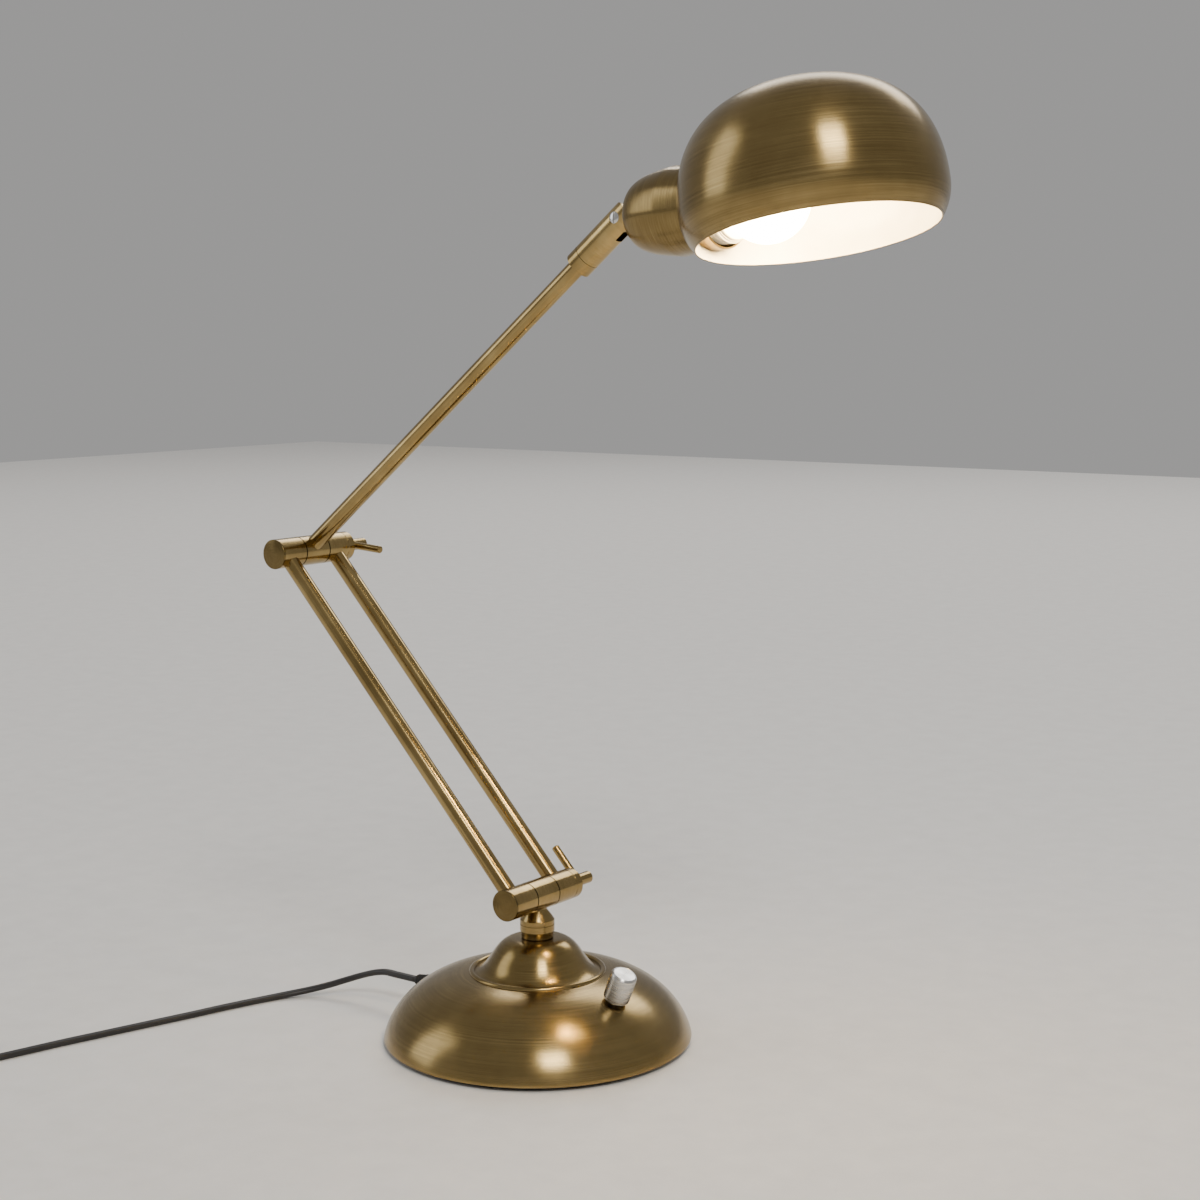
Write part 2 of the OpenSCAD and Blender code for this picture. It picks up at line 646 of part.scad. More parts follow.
// The cup's outline from its back to a given top, drawn in by a wall
cup_r = cup_d / 2;
function cup_outline(w, top) = concat([[0, w]],
    [for (i = [0:steps]) let (p = bezier([cup_r * 0.4, 0], [cup_r * 0.8, 0], [cup_r * 0.9, cup_curve * 0.3],
        [cup_r, cup_curve], i / steps)) [p[0] - w * (0.3 + 0.7 * i / steps), p[1] + w * (1 - i / steps)]],
    [[cup_r - w, top], [0, top]]);

// The shade's outline from its mouth to its crown, drawn in by a wall
function shade_outline(w) = let (r = shade_r() - w, m = mouth_d / 2 - w, h = shade_h - w) concat(
    [[0, w > 0 ? -1 : 0], [m, w > 0 ? -1 : 0]],
    curve([m, 0], [m + (r - m) * 0.6, waist_h * 0.3], [r, waist_h * 0.6], [r, waist_h]),
    [for (i = [1:steps])
        bezier([r, waist_h], [r, waist_h + (h - waist_h) * 0.66], [r * 0.66, h], [0, h], i / steps)]);

module socket_cup() color(brass) on_cup() translate([0, 0, cup_gap]) difference() {
    turned(cup_outline(0, cup_l));
    turned(cup_outline(cup_wall, cup_l + 1));
    translate([0, 0, -1]) cylinder(d = cup_screw_d, h = 4);
}

module cup_screw() color(steel) on_cup() union() {
    translate([0, 0, cup_gap - 6]) cylinder(d = cup_screw_d, h = 6 + cup_wall + eps);
    translate([0, 0, cup_gap + cup_wall]) cylinder(d = 2 * cup_screw_d, h = screw_head_t);
}

module lamp_shade() color(brass) difference() {
    on_shade() turned(shade_outline(0));
    on_shade() turned(shade_outline(shade_wall));
    on_cup() cylinder(d = cup_d, h = cup_gap + cup_l + 20);
}

// The lamp holder: a ribbed body on the cup's axis with a threaded mouth
module lamp_holder() color("ivory") on_cup() translate([0, 0, cup_gap + holder_back]) difference() {
    turned([[0, holder_boss], [5, holder_boss], [5, 0], [holder_d / 2 - 4, 0],
        [holder_d / 2, 10], [holder_d / 2, 24],
        [holder_d / 2 - 1.5, 25], [holder_d / 2 - 1.5, 30], [holder_d / 2 - 0.5, 31],
        [holder_d / 2 - 0.5, holder_l], [0, holder_l]]);
    translate([0, 0, holder_floor]) cylinder(d = holder_bore_d, h = holder_l);
}

module holder_shade_ring() color("ivory") on_cup()
    translate([0, 0, cup_gap + holder_back + shade_ring_at]) difference() {
        union() {
            cylinder(d = shade_ring_d, h = shade_ring_lip);
            translate([0, 0, shade_ring_l - shade_ring_lip]) cylinder(d = shade_ring_d, h = shade_ring_lip);
            cylinder(d = shade_ring_d - 2 * shade_ring_step, h = shade_ring_l);
        }
        translate([0, 0, -1]) cylinder(d = holder_d - 1, h = shade_ring_l + 2);
    }

module holder_contact() color("goldenrod") on_cup()
    translate([0, 0, cup_gap + holder_back + holder_floor]) cylinder(d = contact_d, h = contact_l);

// The bulb: a screw cap, and a glass globe on a short neck
cap_l = 24;
neck_l = 14;
glass_t = 0.8;
bulb_stem_d = 9;
cap_z = cup_gap + holder_back + holder_floor + contact_l + 0.2;
neck_z = cap_z + cap_l;
globe_z = neck_z + bulb_d / 2 + 9;
module bulb_cap() color(steel) on_cup() translate([0, 0, cap_z]) turned([[0, 0], [5, 0],
    [6, 2], [cap_d / 2 - 1, 4.5], [cap_d / 2, 6], [cap_d / 2, cap_l], [0, cap_l]]);

module bulb_glass() color("lemonchiffon") on_cup() difference() {
    union() {
        translate([0, 0, neck_z]) cylinder(d = glass_neck_d, h = neck_l);
        translate([0, 0, globe_z]) sphere(d = bulb_d);
    }
    translate([0, 0, neck_z - 1]) cylinder(d = glass_neck_d - 2 * glass_t, h = neck_l + 1);
    translate([0, 0, globe_z]) sphere(d = bulb_d - 2 * glass_t);
}

module bulb_stem() color("white") on_cup() translate([0, 0, neck_z]) union() {
    cylinder(d = bulb_stem_d, h = neck_l);
    translate([0, 0, neck_l - 1]) cylinder(d = 2, h = 14);
    for (a = [0:90:270]) rotate(a) translate([3, 0, neck_l - 1]) cylinder(d = 1.4, h = 20);
}

base_shell();
bottom_plate();
foot_pad();
cast_weight();
plate_screws();
dimmer_body();
dimmer_nut();
dimmer_shaft();
dimmer_knob();
terminal_block();
cord_strain_relief();
cord_tail();
cord_clamp();
power_cord();
power_cord_coil();
power_cord_end();
cord_tie();
plug_body();
plug_pins();
swivel_stem();
swivel_washer();
swivel_nut();
neck_collar();
lower_mid_knuckle();
lower_front_knuckle();
lower_rear_knuckle();
lower_end_cap();
lower_seam_washers();
lower_clamp_bolt();
front_rod();
rear_rod();
rear_rod_wire();
elbow_front_knuckle();
elbow_rear_knuckle();
elbow_end_cap();
elbow_seam_washers();
elbow_clamp_bolt();
lower_clamp_lever();
elbow_clamp_lever();
elbow_mid_knuckle();
upper_tube();
upper_tube_wire();
sleeve_stop_ring();
clevis_sleeve();
pivot_screw();
pivot_nut();
head_tongue();
socket_cup();
cup_screw();
lamp_shade();
lamp_holder();
holder_shade_ring();
holder_contact();
bulb_cap();
bulb_glass();
bulb_stem();
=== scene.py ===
# Swing arm desk lamp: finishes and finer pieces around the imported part, in metres.
import json
import math

import bpy
from mathutils import Matrix, Vector


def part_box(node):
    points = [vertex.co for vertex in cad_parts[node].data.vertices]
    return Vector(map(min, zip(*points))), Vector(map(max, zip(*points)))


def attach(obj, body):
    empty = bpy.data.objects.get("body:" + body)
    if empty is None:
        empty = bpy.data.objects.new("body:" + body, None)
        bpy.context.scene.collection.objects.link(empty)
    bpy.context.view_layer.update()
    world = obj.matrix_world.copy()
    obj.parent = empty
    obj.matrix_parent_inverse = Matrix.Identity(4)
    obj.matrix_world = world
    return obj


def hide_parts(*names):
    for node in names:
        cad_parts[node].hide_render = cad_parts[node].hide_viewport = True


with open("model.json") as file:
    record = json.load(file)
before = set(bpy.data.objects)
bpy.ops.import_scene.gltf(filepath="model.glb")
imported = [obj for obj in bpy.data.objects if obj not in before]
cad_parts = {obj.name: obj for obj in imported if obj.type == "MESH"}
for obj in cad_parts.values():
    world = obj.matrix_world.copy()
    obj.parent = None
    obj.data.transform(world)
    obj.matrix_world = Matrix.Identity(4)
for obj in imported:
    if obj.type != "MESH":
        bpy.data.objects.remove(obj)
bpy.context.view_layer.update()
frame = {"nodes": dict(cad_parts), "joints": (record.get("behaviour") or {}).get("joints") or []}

mm = 0.001
joints = {j["name"]: j for j in frame["joints"]}
print("frame loaded:", len(frame["nodes"]), "nodes")

# the view
cameraSetup = {
    "place": (0.7316, -0.9338, 0.4118),
    "forward": (-0.58699, 0.79910, -0.12993),
    "up": (-0.07412, 0.10676, 0.99152),
    "lens": 63.5,
    "sensor": 36,
    "nearest": 0.05,
}


def addCamera():
    data = bpy.data.cameras.new("camera")
    data.lens = cameraSetup["lens"]
    data.sensor_width = cameraSetup["sensor"]
    data.clip_start = cameraSetup["nearest"]
    holder = bpy.data.objects.new("camera", data)
    bpy.context.collection.objects.link(holder)
    forward = Vector(cameraSetup["forward"]).normalized()
    right = forward.cross(Vector(cameraSetup["up"])).normalized()
    up = right.cross(forward)
    turn = Matrix((right, up, -forward)).transposed().to_4x4()
    holder.matrix_world = Matrix.Translation(cameraSetup["place"]) @ turn
    bpy.context.scene.camera = holder


addCamera()
print("camera set")


bumpDepth = 0.0002
smallestRadius = 0.0004


# one material, with short ways to add shader nodes and to join them
class Shader:
    def __init__(self, name):
        self.material = bpy.data.materials.new(name)
        self.material.use_nodes = True
        self.tree = self.material.node_tree
        self.surface = self.tree.nodes["Principled BSDF"]

    def add(self, kind, **settings):
        node = self.tree.nodes.new(kind)
        for key, value in settings.items():
            setattr(node, key, value)
        return node

    # sets a node's inputs to values, or links them to the outputs of other nodes
    def feed(self, node, values):
        for name, value in values.items():
            if isinstance(value, bpy.types.NodeSocket):
                self.tree.links.new(value, node.inputs[name])
            else:
                node.inputs[name].default_value = value

    def finish(self, values):
        self.feed(self.surface, values)

    def math(self, operation, *values):
        node = self.add("ShaderNodeMath", operation=operation)
        self.feed(node, dict(enumerate(values)))
        return node.outputs[0]

    # a share of one value and the rest of another
    def mix(self, first, second, share):
        return self.math("ADD", self.math("MULTIPLY", first, share),
                         self.math("MULTIPLY", second, 1 - share))

    def noise(self, vector, scale, detail, roughness):
        node = self.add("ShaderNodeTexNoise")
        self.feed(node, {"Vector": vector, "Scale": scale, "Detail": detail,
                         "Roughness": roughness})
        return node.outputs["Fac"]

    def ramp(self, factor, stops):
        node = self.add("ShaderNodeValToRGB")
        elements = node.color_ramp.elements
        while len(elements) < len(stops):
            elements.new(0.5)
        for element, (place, colour) in zip(elements, stops):
            element.position = place
            element.color = (*colour, 1)
        self.feed(node, {"Fac": factor})
        return node.outputs["Color"]

    def spread(self, factor, low, high):
        node = self.add("ShaderNodeMapRange")
        self.feed(node, {"Value": factor, "To Min": low, "To Max": high})
        return node.outputs["Result"]

    def bump(self, height, strength):
        node = self.add("ShaderNodeBump")
        self.feed(node, {"Height": height, "Strength": strength, "Distance": bumpDepth})
        self.finish({"Normal": node.outputs["Normal"]})

    # draws the highlights out across the turning marks
    def turnedShine(self, strength):
        tangent = self.add("ShaderNodeTangent", direction_type="UV_MAP", uv_map="around")
        self.finish({"Anisotropic": strength, "Anisotropic Rotation": 0.25,
                     "Tangent": tangent.outputs[0]})

    def place(self):
        return self.add("ShaderNodeTexCoord").outputs["Object"]


# object coordinates, split, turned so that Z runs along a piece's own axis
def axisCoords(shader, centre, axis):
    turn = Vector(axis).normalized().rotation_difference(Vector((0, 0, 1))).to_matrix()
    node = shader.add("ShaderNodeMapping", vector_type="POINT")
    shader.feed(node, {"Vector": shader.place(), "Location": -(turn @ Vector(centre)),
                       "Rotation": turn.to_euler("XYZ")})
    split = shader.add("ShaderNodeSeparateXYZ")
    shader.feed(split, {0: node.outputs["Vector"]})
    return split.outputs


def joinCoords(shader, parts):
    join = shader.add("ShaderNodeCombineXYZ")
    shader.feed(join, dict(enumerate(parts)))
    return join.outputs[0]


# a vector that changes fast along the turned outline and slowly round the axis
def roundCoords(shader, centre, axis, along, around):
    x, y, z = axisCoords(shader, centre, axis)
    squares = [shader.math("MULTIPLY", side, side) for side in (x, y)]
    radius = shader.math("SQRT", shader.math("ADD", *squares))
    safe = shader.math("MAXIMUM", radius, smallestRadius)
    parts = [shader.math("MULTIPLY", shader.math("DIVIDE", side, safe), around) for side in (x, y)]
    parts.append(shader.math("MULTIPLY", shader.math("SUBTRACT", z, radius), along))
    return joinCoords(shader, parts)


# a vector that changes fast round a tube and slowly along it
def lengthCoords(shader, centre, axis, along, around):
    sides = zip(axisCoords(shader, centre, axis), (around, around, along))
    return joinCoords(shader, [shader.math("MULTIPLY", side, scale) for side, scale in sides])


brassLook = {
    "dark": (0.138, 0.091, 0.033),
    "middle": (0.275, 0.194, 0.077),
    "light": (0.470, 0.350, 0.155),
    "stops": (0.22, 0.50, 0.78),
    "lines": 2100,
    "linesAround": 0.9,
    "tubeLines": 1100,
    "tubeLinesAlong": 9,
    "clouds": 26,
    "shine": 0.65,
    "brushed": {"roughness": (0.18, 0.30), "bump": 0.08, "streaks": 0.62},
    "polished": {"roughness": (0.13, 0.22), "bump": 0.012, "streaks": 0.35},
}


# antique brass, brushed round an axis or along a tube
def brushedBrass(name, centre, axis, turned=False, tone=1.0, lines=1.0, lengthwise=False,
                 finish="brushed"):
    look = brassLook[finish]
    shader = Shader(name)
    if lengthwise:
        coords = lengthCoords(shader, centre, axis, brassLook["tubeLinesAlong"],
                              brassLook["tubeLines"] * lines)
    else:
        coords = roundCoords(shader, centre, axis, brassLook["lines"] * lines,
                             brassLook["linesAround"])
    streaks = shader.noise(coords, 1.0, 5, 0.62)
    clouds = shader.noise(shader.place(), brassLook["clouds"], 4, 0.6)
    blend = shader.mix(streaks, clouds, look["streaks"])
    tones = [tuple(tone * c for c in brassLook[k]) for k in ("dark", "middle", "light")]
    shader.finish({
        "Base Color": shader.ramp(blend, list(zip(brassLook["stops"], tones))),
        "Roughness": shader.spread(blend, *look["roughness"]),
        "Metallic": 1.0,
    })
    shader.bump(streaks, look["bump"])
    if turned:
        shader.turnedShine(brassLook["shine"])
    return shader.material


metalLook = {"grain": 900, "clouds": 60, "bump": 0.06, "dark": 0.78, "stops": (0.32, 0.66)}


# metal with a fine even grain
def plainMetal(name, colour, roughness):
    look = metalLook
    shader = Shader(name)
    grains = shader.noise(shader.place(), look["grain"], 4, 0.6)
    clouds = shader.noise(shader.place(), look["clouds"], 3, 0.5)
    mixed = shader.mix(grains, clouds, 0.5)
    tones = (tuple(look["dark"] * c for c in colour), colour)
    shader.finish({
        "Base Color": shader.ramp(mixed, list(zip(look["stops"], tones))),
        "Roughness": shader.spread(mixed, roughness * 0.8, roughness * 1.25),
        "Metallic": 1.0,
    })
    shader.bump(grains, look["bump"])
    return shader.material


# plastic, rubber and other dull finishes
def dullFinish(name, colour, roughness, grain=1400, strength=0.12, variation=0.16, coat=0.0):
    shader = Shader(name)
    grains = shader.noise(shader.place(), grain, 3, 0.6)
    clouds = shader.noise(shader.place(), 45, 4, 0.6)
    low = tuple((1 - variation) * c for c in colour)
    high = tuple(min(1.0, (1 + variation) * c) for c in colour)
    shader.finish({
        "Base Color": shader.ramp(clouds, [(0.30, low), (0.70, high)]),
        "Roughness": shader.spread(grains, roughness * 0.82, min(1.0, roughness * 1.15)),
        "Coat Weight": coat,
    })
    shader.bump(grains, strength)
    return shader.material


def setFinish(piece, *materials):
    piece.data.materials.clear()
    for material in materials:
        piece.data.materials.append(material)


# the cord, its coil, tie and plug; places in millimetres
cord = {
    "width": 5.4 * mm,
    "thick": 3.4 * mm,
    "length": 1.8,
    "route": [
        (-92.4, 0, 18), (-101, 0, 18), (-110, 0, 18), (-118, 0, 18), (-126, -1, 16.5),
        (-135, -3, 13.6), (-144, -7, 10.2),
        (-153, -13, 6.8), (-162, -21, 4.1), (-170, -31, 2.5), (-176, -43, 1.8), (-181, -57, 1.7),
        (-186, -73, 1.7), (-191, -91, 1.7), (-197, -111, 1.7), (-203, -131, 1.7), (-209, -151, 1.7),
        (-215, -171, 1.7), (-220, -190, 1.7), (-225, -209, 1.7), (-230, -227, 1.7)],
    "coilCentre": (-273, -232),
    "coilInner": 18.9,
    "coilOuter": 40.5,
    "coilStart": -13,
    "coilEnd": -60,
    "layers": (1.7, 5.2),
    "pointsPerTurn": 18,
    "turnsIn": 4,
    "turnsOut": 3,
    "climb": 90,
    "coreSweep": 156,
    "corePoints": 8,
    "waist": 0.86,
    "end": [(-260, -271.2, 5.2), (-267, -275.2, 5.8), (-274, -279.2, 6.5), (-281, -283.2, 6.5)],
}


# the coil runs inwards over the table, climbs, and runs outwards on top of itself
def coilPoints():
    first = cord["coilStart"]
    climb = cord["climb"]
    inward = 360 * cord["turnsIn"]
    outward = (first - inward - climb - cord["coilEnd"]) % 360 + 360 * cord["turnsOut"]
    inner, outer = cord["coilInner"], cord["coilOuter"]
    low, high = cord["layers"]
    total = inward + climb + outward
    count = round(total / 360 * cord["pointsPerTurn"])
    points = []
    for i in range(count + 1):
        turned = total * i / count
        if turned < inward:
            radius = outer + (inner - outer) * turned / inward
            height = low
        elif turned < inward + climb:
            radius = inner
            part = (turned - inward) / climb
            height = low + (high - low) * (3 * part ** 2 - 2 * part ** 3)
        else:
            radius = inner + (outer - inner) * (turned - inward - climb) / outward
            height = high
        angle = math.radians(first - turned)
        x = cord["coilCentre"][0] + radius * math.cos(angle)
        y = cord["coilCentre"][1] + radius * math.sin(angle)
        points.append((x, y, height))
    return points


# a smooth line through points, with more points between them
def smoothLine(points, steps):
    line = [points[0]]
    for i in range(len(points) - 1):
        p0 = points[max(i - 1, 0)]
        p1, p2 = points[i], points[i + 1]
        p3 = points[min(i + 2, len(points) - 1)]
        for k in range(1, steps + 1):
            t = k / steps
            line.append(0.5 * (2 * p1 + (p2 - p0) * t + (2 * p0 - 5 * p1 + 4 * p2 - p3) * t * t
                               + (3 * p1 - p0 - 3 * p2 + p3) * t ** 3))
    return line


# the flat cord's section: two round cores side by side in one jacket
def cordSection():
    half, thick = cord["width"] / 2, cord["thick"] / 2
    core = half - thick
    sweep, count = cord["coreSweep"], cord["corePoints"]
    section = []
    for side, facing in ((1, 0), (-1, 180)):
        for k in range(count):
            angle = math.radians(facing - sweep / 2 + sweep * k / (count - 1))
            section.append((side * core + thick * math.cos(angle), thick * math.sin(angle)))
        section.append((0, side * thick * cord["waist"]))
    return section


def cordMesh(name, line, section):
    mesh = bpy.data.meshes.new(name)
    vertices, faces = [], []
    count = len(section)
    for i, point in enumerate(line):
        ahead = line[min(i + 1, len(line) - 1)] - line[max(i - 1, 0)]
        ahead.normalize()
        side = Vector((0, 0, 1)).cross(ahead).normalized()
        up = ahead.cross(side)
        vertices += [point + side * a + up * b for a, b in section]
    for i in range(len(line) - 1):
        for k in range(count):
            m = (k + 1) % count
            faces.append((i * count + k, i * count + m, (i + 1) * count + m, (i + 1) * count + k))
    last = (len(line) - 1) * count
    faces.append(tuple(reversed(range(count))))
    faces.append(tuple(last + k for k in range(count)))
    mesh.from_pydata([tuple(v) for v in vertices], [], faces)
    mesh.update()
    lengths = [0.0]
    for a, b in zip(line, line[1:]):
        lengths.append(lengths[-1] + (b - a).length)
    layer = mesh.uv_layers.new(name="along")
    for face in mesh.polygons:
        for loop in face.loop_indices:
            index = mesh.loops[loop].vertex_index
            layer.data[loop].uv = (lengths[index // count], (index % count) / count)
    piece = bpy.data.objects.new(name, mesh)
    bpy.context.collection.objects.link(piece)
    for face in mesh.polygons:
        face.use_smooth = True
    return piece, lengths[-1]


cordRoute = [Vector(p) * mm for p in cord["route"] + coilPoints() + cord["end"]]
cordLine = smoothLine(cordRoute, 3)
powerCord, cordMeasured = cordMesh("powerCord", cordLine, cordSection())
print("cord made, its length is", round(cordMeasured, 3))


# modelling helpers
def deselectAll():
    if bpy.context.object and bpy.context.object.mode != "OBJECT":
        bpy.ops.object.mode_set(mode="OBJECT")
    bpy.ops.object.select_all(action="DESELECT")


def makeActive(*pieces):
    deselectAll()
    for piece in pieces:
        piece.select_set(True)
    bpy.context.view_layer.objects.active = pieces[0]


def arc(centreR, centreH, radius, start, end, count):
    angles = [math.radians(start + (end - start) * i / count) for i in range(count + 1)]
    return [(centreR + radius * math.cos(a), centreH + radius * math.sin(a)) for a in angles]


def bezier(a, b, c, d, count):
    line = []
    for i in range(count + 1):
        t = i / count
        weights = ((1 - t) ** 3, 3 * t * (1 - t) ** 2, 3 * t * t * (1 - t), t ** 3)
        line.append(tuple(sum(w * p[k] for w, p in zip(weights, (a, b, c, d))) for k in (0, 1)))
    return line


# a line moved sideways by a wall: towards the axis where it climbs, away where it falls
def setIn(line, wall):
    inner = []
    for i, point in enumerate(line):
        before, after = line[max(i - 1, 0)], line[min(i + 1, len(line) - 1)]
        dr, dh = after[0] - before[0], after[1] - before[1]
        size = math.hypot(dr, dh)
        inner.append((max(0.0, point[0] - wall * dh / size), point[1] + wall * dr / size))
    return inner


# writes the turn round an axis and the way along the outline into a texture layer
def wrapAround(piece, centre, axis):
    axis = Vector(axis).normalized()
    across = axis.orthogonal().normalized()
    third = axis.cross(across)
    centre = Vector(centre)
    mesh = piece.data
    layer = mesh.uv_layers.get("around") or mesh.uv_layers.new(name="around")
    for face in mesh.polygons:
        middle = face.center - centre
        main = math.atan2(middle.dot(third), middle.dot(across))
        for loop in face.loop_indices:
            spot = mesh.vertices[mesh.loops[loop].vertex_index].co - centre
            a, b, h = spot.dot(across), spot.dot(third), spot.dot(axis)
            radius = math.hypot(a, b)
            angle = math.atan2(b, a) if radius > 1e-6 else main
            while angle - main > math.pi:
                angle -= 2 * math.pi
            while angle - main < -math.pi:
                angle += 2 * math.pi
            layer.data[loop].uv = (angle / (2 * math.pi), (h - radius) * 5)


# an outline of (radius, height) in millimetres, extruded point by point and spun round an axis
def turnedPiece(name, outline, centre, axis, steps=96, smooth=32):
    deselectAll()
    centre, axis = Vector(centre), Vector(axis).normalized()
    side = axis.orthogonal().normalized()
    places = [centre + side * r * mm + axis * h * mm for r, h in outline]
    bpy.ops.mesh.primitive_plane_add(size=mm, location=(0, 0, 0))
    piece = bpy.context.object
    piece.name = name
    bpy.ops.object.mode_set(mode="EDIT")
    bpy.ops.mesh.select_mode(type="VERT")
    bpy.ops.mesh.select_all(action="SELECT")
    bpy.ops.mesh.merge(type="CENTER")
    bpy.ops.transform.translate(value=places[0])
    for a, b in zip(places, places[1:]):
        bpy.ops.mesh.extrude_vertices_move(TRANSFORM_OT_translate={"value": b - a})
    bpy.ops.mesh.select_all(action="SELECT")
    bpy.ops.mesh.spin(steps=steps, angle=2 * math.pi, center=centre, axis=axis)
    bpy.ops.mesh.select_all(action="SELECT")
    bpy.ops.mesh.remove_doubles(threshold=0.00001)
    bpy.ops.mesh.normals_make_consistent(inside=False)
    bpy.ops.object.mode_set(mode="OBJECT")
    bpy.ops.object.shade_smooth_by_angle(angle=math.radians(smooth))
    wrapAround(piece, centre, axis)
    return piece


def selectPoints(piece, chosen):
    bpy.ops.object.mode_set(mode="OBJECT")
    for vertex in piece.data.vertices:
        vertex.select = bool(chosen(vertex.co))
    for edge in piece.data.edges:
        edge.select = all(piece.data.vertices[i].select for i in edge.vertices)
    for face in piece.data.polygons:
        face.select = all(piece.data.vertices[i].select for i in face.vertices)
    bpy.ops.object.mode_set(mode="EDIT")


def selectFaces(piece, chosen):
    bpy.ops.object.mode_set(mode="EDIT")
    bpy.ops.mesh.select_mode(type="FACE")
    bpy.ops.mesh.select_all(action="DESELECT")
    bpy.ops.object.mode_set(mode="OBJECT")
    for face in piece.data.polygons:
        face.select = bool(chosen(face))
    bpy.ops.object.mode_set(mode="EDIT")


def useModifier(piece, kind, **settings):
    modifier = piece.modifiers.new(kind.lower(), kind)
    for key, value in settings.items():
        setattr(modifier, key, value)
    makeActive(piece)
    bpy.ops.object.modifier_apply(modifier=modifier.name)


# puts a piece's place into its mesh
def settle(piece):
    makeActive(piece)
    bpy.ops.object.transform_apply(location=True, rotation=True, scale=True)


# a box of a size in millimetres
def makeBox(size, middle, rotation=(0, 0, 0)):
    deselectAll()
    bpy.ops.mesh.primitive_cube_add(size=1, location=middle, rotation=rotation)
    box = bpy.context.object
    box.scale = [side * mm for side in size]
    settle(box)
    return box


def cutAway(piece, cutter):
    settle(cutter)
    useModifier(piece, "BOOLEAN", operation="DIFFERENCE", object=cutter, solver="EXACT")
    bpy.data.objects.remove(cutter)


def joinPieces(name, *pieces):
    makeActive(*pieces)
    bpy.ops.object.join()
    pieces[0].name = name
    return pieces[0]


def fit(piece, body, slot, *nodes):
    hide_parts(*nodes)
    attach(piece, body)


# turns in degrees, distances in metres
headSetup = {"shadeTurn": -63, "cupTurn": 98, "mouthOut": 0.120, "mouthDown": 0.0381}

up = Vector((0, 0, 1))
hingeAxis = Vector((0, 1, 0))
lowerHinge = Vector(joints["lower_pivot"]["pos_m"])
elbow = Vector(joints["elbow_pivot"]["pos_m"])
pivot = Vector(joints["head_tilt"]["pos_m"])
tubeAxis = Vector(joints["head_swivel"]["axis"]).normalized()
headAxis = Vector(joints["head_tilt"]["axis"]).normalized()
armAxis = (elbow - lowerHinge).normalized()
shadeAxis = Matrix.Rotation(math.radians(headSetup["shadeTurn"]), 3, headAxis) @ tubeAxis
shadeOut = headAxis.cross(shadeAxis)
cupAxis = Matrix.Rotation(math.radians(headSetup["cupTurn"]), 3, headAxis) @ shadeAxis
mouthCentre = pivot + shadeOut * headSetup["mouthOut"] - shadeAxis * headSetup["mouthDown"]

# cord finish and fittings
blackCord = dullFinish("cordJacket", (0.018, 0.016, 0.015), 0.42,
                       grain=2200, strength=0.10, variation=0.3)
blackPlastic = dullFinish("blackPlastic", (0.022, 0.021, 0.021), 0.48,
                          grain=2600, strength=0.10, variation=0.25)
softRubber = dullFinish("softRubber", (0.020, 0.019, 0.018), 0.72,
                        grain=1800, strength=0.2, variation=0.3)
setFinish(powerCord, blackCord)
fit(powerCord, "base", "cord_black", "power_cord", "power_cord_coil", "power_cord_end")

relief = {"foot": 4.5, "tip": 3.3, "start": 82.0, "end": 92.4, "ribs": 3, "groove": 0.45,
          "height": 18.0}


# a tapered sleeve with rounded ribs, from inside the shell to where the cord leaves it
def makeRelief():
    foot, tip, start, end = (relief[k] for k in ("foot", "tip", "start", "end"))
    line = [(0, start - 8), (3.9, start - 8), (3.9, start), (foot, start + 0.2),
            (foot, start + 3.2)]
    length = end - start - 5.0
    for i in range(relief["ribs"]):
        part = i / relief["ribs"]
        r = foot - 0.5 + (tip - foot + 0.5) * part
        low = r - relief["groove"]
        h = start + 4.0 + length * part
        step = length / relief["ribs"]
        line += [(low, h), (low, h + step * 0.28), (r, h + step * 0.40), (r, h + step * 0.88)]
    line += [(tip - 0.1, end - 0.7), (tip - 0.5, end), (0, end)]
    return turnedPiece("strainRelief", line, (0, 0, relief["height"] * mm), (-1, 0, 0),
                       steps=40, smooth=40)


strainRelief = makeRelief()
setFinish(strainRelief, softRubber)
fit(strainRelief, "base", "cord_black", "cord_strain_relief", "cord_tail")

plug = {
    "place": (-281, -283.2), "turn": 180 + math.degrees(math.atan2(4, 7)),
    "length": 34, "width": 26, "height": 13, "tail": 11, "cuts": (0.18, 0.45, 0.8), "bevel": 2.2,
    "ridges": 4, "ridgeWidth": 1.1, "ridgeBevel": 0.4,
}


